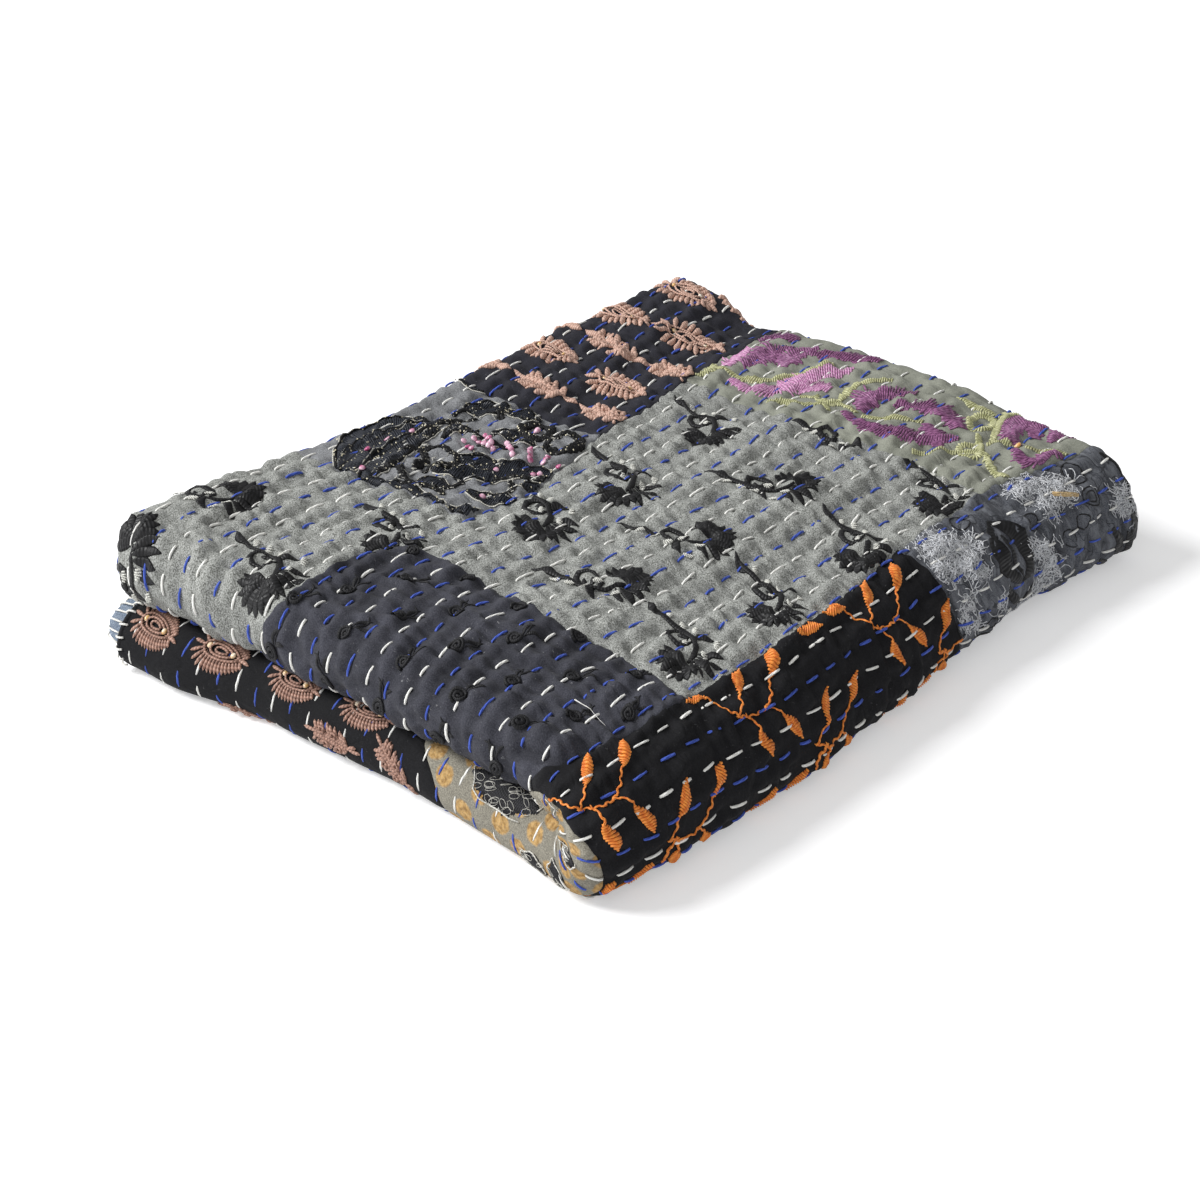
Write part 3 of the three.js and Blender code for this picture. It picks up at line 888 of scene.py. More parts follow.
def worn_cotton_group():
    """Woven cotton: a fine plain weave, flecks of a second yarn, faded clouds, lint and soft roughness.

    The vector is in metres on the cloth. Ridge is 1 on top of the quilting and 0 in its valleys. The
    colour is lighter on the ridges, as wear, and darker in the valleys, as painted shade.
    """
    nodes, given = new_group("Worn cotton", {
        "Vector": (0.0, 0.0, 0.0), "Base": (0.2, 0.2, 0.2, 1.0), "Fleck": (0.3, 0.3, 0.3, 1.0),
        "Fleck Amount": 0.5, "Fade": 0.2, "Lint": 0.0, "Ridge": 0.5,
    })
    vector = given["Vector"]
    split = nodes.add("ShaderNodeSeparateXYZ", {"Vector": vector})
    warp, weft = (nodes.math("SINE", nodes.times(split.outputs[axis], 2 * math.pi / WEAVE_PITCH))
                  for axis in (0, 1))
    weave = nodes.times(warp, weft)
    grain = nodes.noise(vector, GRAIN, 1.0, 0.6)
    coarse = nodes.noise(vector, COARSE_GRAIN, 3.0, 0.6)
    fleck = nodes.plus(nodes.times(grain, 0.75), nodes.times(coarse, 0.25))
    fleck = nodes.times(nodes.span(fleck, 0.39, 0.63), given["Fleck Amount"])
    colour = nodes.mix(fleck, given["Base"], given["Fleck"])
    cloud = nodes.span(nodes.noise(vector, CLOUDS, 4.0, 0.6), 0.34, 0.68)
    # Painted shade in the quilting's valleys; the lighter ridges stand for wear and the clouds for fading
    wear_and_valley_shade = nodes.plus(nodes.times(cloud, 0.5), nodes.times(given["Ridge"], 0.5))
    tone_and_shading = nodes.plus(1.0, nodes.times(nodes.minus(wear_and_valley_shade, 0.5), nodes.times(given["Fade"], 2.0)))
    shade_colour = nodes.add("ShaderNodeCombineColor", {0: tone_and_shading, 1: tone_and_shading, 2: tone_and_shading}).outputs[0]
    colour = nodes.mix(1.0, colour, shade_colour, "MULTIPLY")
    lint = nodes.times(nodes.span(nodes.noise(vector, LINT, 1.0, 0.5, 1.2), 0.70, 0.76),
                       nodes.span(nodes.noise(vector, LINT_FIELDS, 2.0), 0.45, 0.62))
    colour = nodes.mix(nodes.times(lint, given["Lint"]), colour, LINT_COLOUR)
    rough = nodes.span(cloud, 0.0, 1.0, 0.86, 0.97)
    height = nodes.plus(nodes.times(weave, WEAVE_DEPTH), nodes.times(coarse, GRAIN_DEPTH))
    crumple = nodes.scaled(vector, (1.0, 0.5, 1.0))
    height = nodes.plus(height, nodes.times(nodes.noise(crumple, CRUMPLES, 2.0, 0.5, 0.4), CRUMPLE_DEPTH))
    gather = nodes.scaled(vector, (1.0, 0.38, 1.0))
    line = nodes.off_middle(nodes.noise(gather, GATHERS, 2.0, 0.5, 0.7))
    open_cloth = nodes.span(line, 0.0, 0.11)
    some = nodes.span(nodes.noise(vector, GATHER_FIELDS, 1.0), 0.42, 0.6)
    crease = nodes.times(nodes.minus(1.0, open_cloth), some)
    height = nodes.minus(height, nodes.times(crease, CREASE_DEPTH))
    nodes.add("NodeGroupOutput", {"Color": colour, "Roughness": rough, "Height": height})
    return nodes.tree


def spun_thread_group():
    """Thread: plies that wind round it, and uneven dye.

    The vector is turns round the thread and centimetres along it. Between the plies the colour goes
    towards the second tone: painted shade where that tone is darker than the base, and a painted
    highlight where it is lighter, as on the black threads. It is also mixed in patchily as uneven dye.
    """
    nodes, given = new_group("Spun thread", {
        "Vector": (0.0, 0.0, 0.0), "Base": (0.5, 0.5, 0.5, 1.0), "Tone And Shading": (0.2, 0.2, 0.2, 1.0),
        "Plies": 6.0, "Twist": 1.0, "Uneven": 0.3,
    })
    split = nodes.add("ShaderNodeSeparateXYZ", {"Vector": given["Vector"]})
    turns = nodes.plus(nodes.times(split.outputs[1], given["Plies"]),
                       nodes.times(split.outputs[0], given["Twist"]))
    ply = nodes.math("MULTIPLY_ADD", nodes.math("SINE", nodes.times(turns, 2 * math.pi)), 0.5)
    nodes.put(ply.node.inputs[2], 0.5)
    place = nodes.add("ShaderNodeTexCoord").outputs["Object"]
    patchy = nodes.span(nodes.noise(place, DYE_CLOUDS, 2.0), 0.35, 0.65)
    # Painted shade between the plies, a painted highlight where the second tone is lighter; and uneven dye
    dark = nodes.plus(nodes.times(nodes.minus(1.0, ply), 0.55),
                      nodes.times(patchy, given["Uneven"]), clamp=True)
    colour = nodes.mix(dark, given["Base"], given["Tone And Shading"])
    rough = nodes.span(patchy, 0.0, 1.0, 0.5, 0.75)
    nodes.add("NodeGroupOutput", {"Color": colour, "Roughness": rough, "Height": ply})
    return nodes.tree


def linear(colour):
    """A colour of 0 to 255 screen values as the linear colour that shaders take; four values are one."""
    if len(colour) == 4:
        return tuple(colour)
    share = np.array(colour, float) / 255
    value = np.where(share <= 0.04045, share / 12.92, ((share + 0.055) / 1.055) ** 2.4)
    return (*value.tolist(), 1.0)


def new_material(name, sheen):
    """A dull material with a little sheen: itself, its nodes and its shader."""
    material = bpy.data.materials.new(name)
    material.use_nodes = True
    nodes = Nodes(material.node_tree)
    shader = material.node_tree.nodes["Principled BSDF"]
    shader.inputs["Sheen Weight"].default_value = sheen
    shader.inputs["Sheen Roughness"].default_value = 0.5
    shader.inputs["Specular IOR Level"].default_value = 0.25
    return material, nodes, shader


def finish_material(nodes, shader, colour, roughness, height, strength, distance):
    """Links a colour, a roughness and a bump, whose depth is this distance in metres, to the shader."""
    bump = nodes.add("ShaderNodeBump", {"Height": height, "Strength": strength, "Distance": distance})
    for key, value in (("Base Color", colour), ("Roughness", roughness), ("Normal", bump.outputs[0])):
        nodes.put(shader.inputs[key], value)


def cloth_material(name, base, fleck, amount=0.5, fade_and_shade=0.2, lint=0.0, overlay=None, sheen=0.04):
    """Worn cotton. An overlay is a function that paints a print over the colour, given nodes and vector."""
    material, nodes, shader = new_material(name, sheen)
    vector = nodes.add("ShaderNodeUVMap", uv_map="Cloth").outputs[0]
    cotton = nodes.group("Worn cotton", worn_cotton_group, {
        "Vector": vector, "Base": linear(base), "Fleck": linear(fleck), "Fleck Amount": amount, "Fade": fade_and_shade,
        "Lint": lint, "Ridge": nodes.attribute("ridge")})
    colour = cotton["Color"]
    if overlay:
        colour = overlay(nodes, vector, colour)
    finish_material(nodes, shader, colour, cotton["Roughness"], cotton["Height"], 0.8, CLOTH_BUMP)
    return material


def thread_material(name, base, tone_and_shading, plies, twist=1.0, uneven=0.3, sheen=0.1, gloss=0.0, bump=0.00015):
    """Spun thread: more gloss makes it smoother and brings out a silky light along the plies."""
    # The second colour is painted between the plies: painted shade where it is darker than the base, a
    # painted highlight where it is lighter
    material, nodes, shader = new_material(name, sheen)
    shader.inputs["Specular IOR Level"].default_value = 0.25 + gloss
    vector = nodes.add("ShaderNodeUVMap", uv_map="Cloth").outputs[0]
    thread = nodes.group("Spun thread", spun_thread_group, {
        "Vector": vector, "Base": linear(base), "Tone And Shading": linear(tone_and_shading), "Plies": plies, "Twist": twist,
        "Uneven": uneven})
    roughness = nodes.minus(thread["Roughness"], gloss)
    finish_material(nodes, shader, thread["Color"], roughness, thread["Height"], 0.5, bump)
    return material


def bead_material(name, base, second, roughness):
    """Small glossy beads: the colour changes a little from bead to bead."""
    material, nodes, shader = new_material(name, 0.0)
    place = nodes.add("ShaderNodeTexCoord").outputs["Object"]
    share = nodes.span(nodes.noise(place, 260.0, 1.0), 0.35, 0.65)
    nodes.put(shader.inputs["Base Color"], nodes.mix(share, base, second))
    nodes.put(shader.inputs["Roughness"], nodes.span(share, 0.0, 1.0, roughness, roughness + 0.15))
    shader.inputs["Specular IOR Level"].default_value = 0.6
    return material


# ---------------------------------------------------------------- prints on the cloth
SPOTS_PER_METRE = (66.0, 62.0, 1.0)
SPOT_TURN = 0.62
BACK_PATCH = (0.23, 0.21)  # metres
BACK_TONES = [(128, 128, 117), (52, 53, 60), (88, 96, 108), (118, 122, 104), (34, 34, 38), (146, 148, 150)]


def ochre_spots(nodes, vector, colour):
    """Printed round spots in staggered rows, with soft worn edges."""
    turned = nodes.scaled(vector, SPOTS_PER_METRE, SPOT_TURN)
    cells = nodes.add("ShaderNodeTexVoronoi", {"Vector": turned, "Scale": 1.0, "Randomness": 0.32},
                      voronoi_dimensions="2D")
    edge = nodes.plus(cells.outputs["Distance"], nodes.times(nodes.noise(vector, 300.0, 2.0), 0.12))
    mask = nodes.span(edge, 0.43, 0.36)
    worn = nodes.span(nodes.noise(vector, 900.0, 2.0, 0.6), 0.3, 0.7, 0.7, 1.0)
    uneven = nodes.span(nodes.noise(vector, 420.0, 3.0, 0.65), 0.35, 0.65)
    ochre = nodes.mix(uneven, (140, 104, 50), (206, 168, 108))
    return nodes.mix(nodes.times(mask, worn), colour, ochre)


def scribbled_wool(nodes, vector, colour):
    """Fields of fine pale fibres that curl over the cloth, and dark scrolls printed between them."""
    field = nodes.attribute("wool")
    ragged = nodes.plus(field, nodes.times(nodes.minus(nodes.noise(vector, 160.0, 3.0, 0.65), 0.5), 1.1))
    field = nodes.span(ragged, 0.42, 0.72)
    streaks = nodes.scaled(vector, (1.0, 0.3, 1.0))
    smoke = nodes.span(nodes.noise(streaks, 190.0, 4.0, 0.7, 0.6), 0.44, 0.62)
    colour = nodes.mix(nodes.times(smoke, 0.65), colour, (128, 131, 137))
    soot = nodes.span(nodes.noise(streaks, 120.0, 3.0, 0.6, 0.4), 0.5, 0.66)
    colour = nodes.mix(nodes.times(soot, 0.6), colour, (34, 35, 39))
    colour = nodes.mix(nodes.times(field, 0.1), colour, (150, 153, 158))
    for scale, width in ((250.0, 0.024), (170.0, 0.016)):
        lines = nodes.noise(vector, scale, 2.0, 0.6, 1.6)
        near = nodes.off_middle(lines)
        fibre = nodes.times(nodes.span(near, width, width * 0.35), field)
        colour = nodes.mix(nodes.times(fibre, 0.95), colour, (244, 245, 248))
    scroll = nodes.off_middle(nodes.noise(vector, 62.0, 1.0, 0.5, 0.8))
    dark = nodes.times(nodes.span(scroll, 0.009, 0.005), 0.7)
    return nodes.mix(dark, colour, (30, 31, 35))


def patchwork_back(nodes, vector, colour):
    """The hidden patches: a grid of plain blocks, each of a tone picked by a noise."""
    block = nodes.add("ShaderNodeVectorMath", {0: vector, 1: (1 / BACK_PATCH[0], 1 / BACK_PATCH[1], 1.0)},
                      operation="MULTIPLY")
    cell = nodes.add("ShaderNodeVectorMath", {0: block.outputs[0]}, operation="FLOOR")
    pick = nodes.add("ShaderNodeTexWhiteNoise", {"Vector": cell.outputs[0]}, noise_dimensions="2D")
    ramp = nodes.add("ShaderNodeValToRGB", {"Fac": pick.outputs["Value"]})
    ramp.color_ramp.interpolation = "CONSTANT"
    for place, tone in enumerate(BACK_TONES):
        stop = ramp.color_ramp.elements[place] if place < 2 else ramp.color_ramp.elements.new(0.5)
        stop.position = place / len(BACK_TONES)
        stop.color = linear(tone)
    return nodes.mix(0.82, colour, ramp.outputs[0])


# ---------------------------------------------------------------- settings
def length_property(name, description, default):
    return bpy.props.FloatProperty(name=name, description=description, default=default, unit="LENGTH",
                                   subtype="DISTANCE")


def colour_property(name, description, value):
    return bpy.props.FloatVectorProperty(name=name, description=description, default=linear(value), size=4,
                                         subtype="COLOR", min=0.0, max=1.0)


class THROW_PG_quilting(bpy.types.PropertyGroup):
    """Sizes of the quilting."""

    row_pitch: length_property("Row pitch", "Distance between two rows of stitches", 0.0126)
    stitch_step: length_property("Stitch step", "One stitch and the gap after it", 0.0164)
    stitch_share: bpy.props.FloatProperty(name="Stitch share", description="How much of a step shows thread",
                                          default=0.59, min=0.2, max=0.9, subtype="FACTOR")
    thread: length_property("Thread thickness", "Thickness of the quilting thread", 0.0014)
    puff: length_property("Puff", "How high the cloth swells between rows", 0.0021)


class THROW_PG_colours(bpy.types.PropertyGroup):
    """Colours of the patches and threads."""

    heather: colour_property("Heather", "Grey-green heather cotton", (93, 94, 90))
    charcoal: colour_property("Charcoal", "Brushed charcoal cotton", (45, 46, 53))
    black: colour_property("Black", "Worn black cotton", (18, 18, 20))
    ink: colour_property("Ink", "Blue-black cotton on the top", (34, 34, 40))
    blue_grey: colour_property("Blue-grey", "Faded blue-grey cotton", (60, 62, 68))
    silver: colour_property("Silver", "Soft silver-grey cotton", (98, 99, 102))
    olive: colour_property("Olive", "Sage cotton", (124, 126, 116))
    spotted: colour_property("Spotted ground", "Grey ground under the ochre spots", (116, 112, 102))
    white_thread: colour_property("White thread", "Cream-white quilting thread", (252, 252, 250))
    blue_thread: colour_property("Blue thread", "Royal blue quilting thread", (76, 104, 206))
    orange_thread: colour_property("Orange thread", "Silky orange thread", (255, 162, 70))
    tan_thread: colour_property("Tan thread", "Dusty pink-tan thread", (226, 190, 172))
    plum_thread: colour_property("Plum thread", "Plum satin thread", (164, 106, 150))
    pink_thread: colour_property("Pink thread", "Pink satin thread", (218, 172, 204))
    green_thread: colour_property("Green thread", "Yellow-green thread", (214, 214, 170))


class THROW_PG_stage(bpy.types.PropertyGroup):
    """Light and floor."""

    floor: colour_property("Floor", "Colour of the floor", (244, 244, 245))
    key: bpy.props.FloatProperty(name="Key light", description="Power of the main soft light in watts",
                                 default=263.0, min=0.0)
    fill: bpy.props.FloatProperty(name="Fill light", description="Power of the front fill light in watts",
                                  default=6.0, min=0.0)
    sky: bpy.props.FloatProperty(name="Surroundings", description="Strength of the even light all round",
                                 default=0.33, min=0.0)


# ---------------------------------------------------------------- the sheets
class THROW_OT_backing(bpy.types.Operator):
    """The whole cloth with its four folds, a little thinner where the outer patches lie on it"""

    bl_idname = "throw.backing"
    bl_label = "Backing cloth"

    def execute(self, context):
        colours = context.scene.throw_colours
        across = stations(CLOTH_WIDTH, WIDTH_BENDS, BACKING_STEPS)[None, :]
        along = stations(CLOTH_LENGTH, LENGTH_BENDS, BACKING_STEPS)[:, None]
        width_end = np.interp(ROLL_ACROSS + TUCKED_IN, ACROSS_SKIN, ACROSS_CLOTH)
        start, end = np.interp([ALONG_ENDS[0], ROLL_ALONG + TUCKED_IN], ALONG_SKIN, ALONG_CLOTH)
        covered = (across < width_end - OVERLAP) & (along > start + OVERLAP) & (along < end - OVERLAP)
        outer = cloth_point(across, along, -CLOTH_THICKNESS / 2 + BACKING_DEPTH * covered)
        inner = cloth_point(across, along, CLOTH_THICKNESS / 2 + 0 * along * across)
        uv = np.stack([along + 0 * across, across + 0 * along], -1) * MM
        piece = closed_sheet("backing_cloth", outer, inner, uv)
        piece.data.materials.append(cloth_material(
            "Backing patchwork", colours.heather[:], (96, 98, 92), overlay=patchwork_back))
        settle(piece)
        return {"FINISHED"}


EDGE_DIP, EDGE_DIP_REACH = 0.5, 0.8  # a patch's turned-under edge dips sharply
EDGE_SLOPE, EDGE_SLOPE_REACH = 0.35, 3.0  # after a softer slope towards the seam


def patch_stations(size, grain):
    """Shares from one seam of a patch to the other: even steps, and close lines at and past each seam."""
    inner = np.linspace(1.8, size - 1.8, max(int((size - 3.6) / grain), 4))
    return np.concatenate([[-0.4, 0.5], inner, [size - 0.5, size + 0.4]]) / size


def make_patch(name, material):
    """One patch: a thin closed sheet on the puckered face, whose turned-under edges dip at the seams."""
    slot, *_, level, thickness, grain = PATCHES[name]
    side_middles = np.array([[0.0, 0.5], [1.0, 0.5], [0.5, 0.0], [0.5, 1.0]])
    along, across = patch_places(name, side_middles[:, 0], side_middles[:, 1])
    length, width = along[1] - along[0], across[3] - across[2]
    coarser = 1.0 if name in ("heather", "charcoal") else 1.3
    u, v = np.meshgrid(patch_stations(length, grain * coarser), patch_stations(width, grain), indexing="ij")
    along, across = patch_places(name, u, v)
    edge = np.minimum(np.minimum(u, 1 - u) * length, np.minimum(v, 1 - v) * width)
    height = relief(along, across)
    face = level + height - EDGE_DIP * np.exp(-edge / EDGE_DIP_REACH)
    face = face - EDGE_SLOPE * np.exp(-((edge / EDGE_SLOPE_REACH) ** 2))
    if name == "heather":
        face = face - UNDER_DROP * smooth((well_covered(along, across) - 0.4) / 1.6)
    outer = skin_point(along, across, face)
    inner = skin_point(along, across, face - thickness)
    piece = closed_sheet(f"{name}_patch", outer, inner, np.stack([along, across], -1) * MM)
    wool = wool_field(along, across) if name == "blue_grey" else np.zeros_like(along)
    # The ridge value lightens the colour on the quilting's ridges, as wear, and darkens it in the valleys, as
    # painted shade
    for key, values in (("ridge", np.clip(0.45 + 0.32 * height, 0, 1)), ("wool", wool)):
        attribute = piece.data.attributes.new(key, "FLOAT", "POINT")
        attribute.data.foreach_set("value", np.tile(values.ravel(), 2).astype(np.float32))
    piece.data.materials.append(material)
    settle(piece)
    return piece


class THROW_OT_patches(bpy.types.Operator):
    """The eleven cotton patches on the outside of the packet"""

    bl_idname = "throw.patches"
    bl_label = "Patches"

    def execute(self, context):
        c = context.scene.throw_colours
        # The fade after the fleck amount sets both the fading clouds and the painted shade in the quilting's
        # valleys
        heather = cloth_material("Heather cotton", c.heather[:], (177, 179, 175), 1.0, 0.2, 0.1)
        charcoal = cloth_material("Charcoal cotton", c.charcoal[:], (84, 84, 92), 0.4, 0.5, 0.4)
        black = cloth_material("Black cotton", c.black[:], (42, 42, 46), 0.3, 0.22, 0.10, sheen=0.0)
        ink = cloth_material("Ink cotton", c.ink[:], (60, 60, 70), 0.4, 0.3, 0.2, sheen=0.02)
        blue_grey = cloth_material("Blue-grey cotton", c.blue_grey[:], (112, 115, 122), 0.6, 0.4, 0.2,
                                   scribbled_wool)
        silver = cloth_material("Silver cotton", c.silver[:], (166, 168, 170), 0.6, 0.2, 0.1)
        olive = cloth_material("Olive cotton", c.olive[:], (152, 154, 142), 0.8, 0.2, 0.15)
        spotted = cloth_material("Spotted cotton", c.spotted[:], (164, 160, 146), 0.8, 0.22, 0.15,
                                 ochre_spots)
        chosen = {"heather": heather, "charcoal": charcoal, "silver": silver, "shells_top": ink,
                  "olive": olive, "sprigs": black, "blue_grey": blue_grey, "spotted": spotted,
                  "shells_front": black, "under_near": heather, "under_far": olive}
        for name in PATCHES:
            make_patch(name, chosen[name])
        return {"FINISHED"}


# ---------------------------------------------------------------- the quilting
def row_stitches(row, low, high, quilt, rng):
    """The stitches of one row, as start and end along it, read off the counting function."""
    step = quilt.stitch_step / MM
    places = np.arange(low, high, 1.0)
    phase = stitch_phase(row, places, step)
    whole = np.arange(math.ceil(phase[0]), math.floor(phase[-1]))
    share = quilt.stitch_share * rng.uniform(0.82, 1.12, len(whole))
    return np.interp(whole, phase, places), np.interp(whole + share, phase, places)


FIRST_STITCH = -56.0
ROW_ROUNDS = 5  # a row's drift depends on where it has drifted to, so it is worked out in turns
# A running stitch from where it comes up to where it goes down: place, height and thickness.
STITCH_PLACES = np.array([0.0, 0.07, 0.28, 0.5, 0.72, 0.93, 1.0])
STITCH_HEIGHT = np.array([-0.9, 0.3, 0.65, 0.72, 0.65, 0.3, -0.9])
STITCH_TAPER = np.array([0.5, 0.85, 1.0, 1.04, 1.0, 0.85, 0.5])


def running_stitches(quilt, odd):
    """Every second row's stitches: arcs of thread that rise out of one dimple and sink into the next.

    Each lies a little off its row and a little askew, and half of those at the near corner are left out.
    """
    rng = np.random.default_rng(40 + odd)
    pitch = quilt.row_pitch / MM
    first = math.ceil((HEM_ACROSS + 4 - ROW_START) / pitch)
    last = math.floor((ROLL_ACROSS + 12 - ROW_START) / pitch)
    paths = []
    for row in range(first, last + 1):
        if row % 2 != odd:
            continue
        start, end = row_stitches(row, FIRST_STITCH, ROLL_ALONG + 8, quilt, rng)
        along = start[:, None] + (end - start)[:, None] * STITCH_PLACES
        nominal = ROW_START + row * pitch
        across = np.full_like(along, nominal)
        for _ in range(ROW_ROUNDS):
            across = nominal + row_drift(along, across)
        middle = across.mean(1, keepdims=True)
        across = middle + 0.7 * (across - middle) + rng.normal(0, 0.25, middle.shape)
        across = across + rng.normal(0, 0.4, middle.shape) * (2 * STITCH_PLACES - 1)
        row_paths = np.stack([along, across], -1)
        corner = (along[:, 3] < -4) & (across[:, 3] < 30) & (across[:, 3] > BIG_FOLD_START)
        paths.append(row_paths[~corner | (rng.random(len(start)) < 0.5)])
    return np.concatenate(paths), rng


class THROW_OT_quilting(bpy.types.Operator):
    """Rows of running stitch, blue and white in turn, over the whole outside"""

    bl_idname = "throw.quilting"
    bl_label = "Running stitches"

    def execute(self, context):
        quilt, c = context.scene.throw_quilting, context.scene.throw_colours
        # The second colour of each thread is painted shade between its plies
        for odd, name, base, tone_and_shading in (
            (1, "white", c.white_thread[:], (222, 220, 210)),
            (0, "blue", c.blue_thread[:], (40, 56, 136)),
        ):
            paths, rng = running_stitches(quilt, odd)
            radius = quilt.thread / MM / 2 * rng.uniform(0.85, 1.15, (len(paths), 1)) * STITCH_TAPER
            hidden = paths[:, 3, 1] < BIG_FOLD_START + 4
            threads = Threads()
            threads.add(paths[~hidden], radius[~hidden], 0.8 * radius[~hidden], STITCH_HEIGHT, 6, stiff=True)
            threads.add(paths[hidden][:, ::2], radius[hidden][:, ::2], 0.5 * radius[hidden][:, ::2], 0.1, 4)
            material = thread_material(f"{name.title()} quilting thread", base, tone_and_shading, 2.0, 3.0, 0.2,
                                       bump=0.0003)
            threads.build(f"{name}_running_stitches", material, f"{name}_thread")
        return {"FINISHED"}


# ---------------------------------------------------------------- motifs
# A carnation sprig on a field of about 46 x 60: (kind, width, height, points along its middle).
CARNATION = [
    ("line", 3.5, 0.8, [(20, 44), (18, 38), (16, 30), (16, 22), (15, 14), (11, 6), (4, 1), (-2, 0)]),
    ("leaf", 4.0, 0.6, [(17, 32), (17, 40), (22, 48)]),
    ("line", 3.6, 0.85, [(15, 14), (15, 20), (11, 24), (6, 22), (4, 16), (6, 10), (11, 8)]),
    ("line", 2.8, 0.7, [(11, 19), (13, 15), (10, 13), (8, 15)]),
    ("leaf", 4.6, 0.6, [(13, 9), (18, 8), (21, 2)]),
    ("leaf", 4.6, 0.6, [(1, 0), (-3, -7), (-5, -15)]),
    ("leaf", 4.8, 0.6, [(2, -1), (1, -9), (2, -18)]),
    ("leaf", 4.8, 0.6, [(4, -1), (6, -9), (9, -16)]),
    ("leaf", 4.6, 0.6, [(6, 0), (11, -5), (14, -12)]),
]
CARNATION_FAN = {"centre": (-3, 1), "from": 92, "to": 250, "count": 9, "length": 16.5, "width": 5.8}
GLINTS = [(8, 11), (20, 32), (9, -2), (18, 13), (19, -2), (19, 22)]
# Where the sprigs stand: (along, across, turn, scale, flip).
CARNATIONS = [
    (-1, 316, 20, 0.95, -1), (58, 308, 8, 0.95, -1), (14, 232, 0, 1.0, 1), (81, 217, 0, 0.9, 1),
    (147, 176, 0, 0.95, 1), (206, 170, 0, 1.0, 1), (286, 180, 0, 0.95, 1), (134, 109, 0, 0.92, -1),
    (196, 105, 0, 0.95, -1), (270, 107, 0, 0.95, -1), (334, 118, -14, 0.7, -1), (112, 46, 0, 0.95, 1),
    (177, 43, 0, 0.92, 1), (249, 41, 0, 0.92, 1), (322, 43, 0, 0.95, 1), (-10, 366, 0, 0.9, 1),
]


def motif_strokes(rows, count):
    """Paths, half widths and heights of a motif's rows, each with the same number of points."""
    paths = np.stack([curve(row[3], count) for row in rows])
    widths = np.stack([row[1] / 2 * profile(row[0], count) for row in rows])
    heights = np.stack([row[2] * np.clip(profile(row[0], count), 0.4, 1) for row in rows])
    return paths, widths, heights


def add_motif(threads, patch, rows, places, count=9, sides=6):
    """Adds a motif's strokes at each of the places, cut off at the seams of its patch."""
    paths, widths, heights = motif_strokes(rows, count)
    copies = stamp(paths, places)
    repeat = len(places)
    copies, widths, heights = keep_inside(patch, copies, np.tile(widths, (repeat, 1)),
                                          np.tile(heights, (repeat, 1)))
    threads.add(copies, widths, heights, 0.25, sides)


def fan_rows(fan):
    """Petals side by side round a centre, the middle ones longest, in two layers."""
    rows = []
    for layer, (share, height) in enumerate(((1.0, 0.5), (0.62, 0.8))):
        inset = 9 * layer
        angles = np.radians(np.linspace(fan["from"] + inset, fan["to"] - inset, fan["count"] - 2 * layer))
        for place, angle in enumerate(angles):
            reach = fan["length"] * share * (0.86 + 0.14 * math.sin(math.pi * (place + 0.5) / len(angles)))
            width = fan["width"] * (1 - 0.25 * layer)
            rows.append(("petal", width, height, ray(*fan["centre"], angle, reach)))
    return rows


def short_threads(places, radius, each, length, seed):
    """Little clusters of crossing threads at each place, seeded."""
    rng = np.random.default_rng(seed)
    centres = np.repeat(np.asarray(places, float), each, axis=0)
    centres = centres + rng.normal(0, radius, centres.shape)
    angle = rng.uniform(0, math.pi, len(centres))
    reach = length * rng.uniform(0.5, 1.0, len(centres)) / 2
    arrow = unit(angle) * reach[:, None]
    return centres[:, None, :] + arrow[:, None, :] * np.linspace(-1, 1, 4)[None, :, None]


class THROW_OT_carnations(bpy.types.Operator):
    """Black carnation sprigs with silvery glints, scattered over the heather patch"""

    bl_idname = "throw.carnations"
    bl_label = "Carnation sprigs"

    def execute(self, context):
        # The lighter second colour is a painted highlight between the plies
        black = thread_material("Black silk thread", (12, 12, 13), (34, 34, 36), 6.0, 0.0, 0.4, 0.0,
                                0.08, 0.0004)
        threads = Threads()
        add_motif(threads, "heather", CARNATION + fan_rows(CARNATION_FAN), CARNATIONS)
        threads.build("carnation_embroidery", black, "black_thread")
        # Painted highlights: small patches of pale thread stand for the silvery glints on the black satin
        silver = thread_material("Silver glint thread", (240, 240, 232), (150, 150, 144), 9.0)
        glints = Threads()
        marks = []
        for number, (x, y) in enumerate(GLINTS):
            spine = [(x - 1.7, y - 1.0), (x, y), (x + 1.5, y + 1.6)]
            marks.append(stamp(comb(spine, [1.1, 1.7, 1.0], 1.0, 0.4, 4, seed=number), CARNATIONS))
        glints.add_in("heather", np.concatenate(marks), 0.38, 0.35, 0.8, 4)
        glints.build("carnation_glints", silver, "white_thread")
        return {"FINISHED"}


# Two leaves and a tendril beside the coil of a rosette: (kind, width, height, points).
ROSETTE_LEAVES = [
    ("leaf", 2.2, 0.4, [(3, -2), (7, -3), (10, -6)]), ("leaf", 2.0, 0.4, [(3, -3), (5, -7), (5, -10)]),
    ("line", 0.9, 0.35, [(2, -3), (8, -5), (11, -3)]),
]
# Columns 24 apart, each a little lower than the one before, of rosettes 37 apart in three turns.
ROSETTES = [(8 + 24 * i + 2 * (j % 2), 173 - 9 * i - 2 * i * i + 37 * j, 25 * ((i + j) % 3), 1.1, 1)
            for i in range(-2, 4) for j in range(-4, 3)]


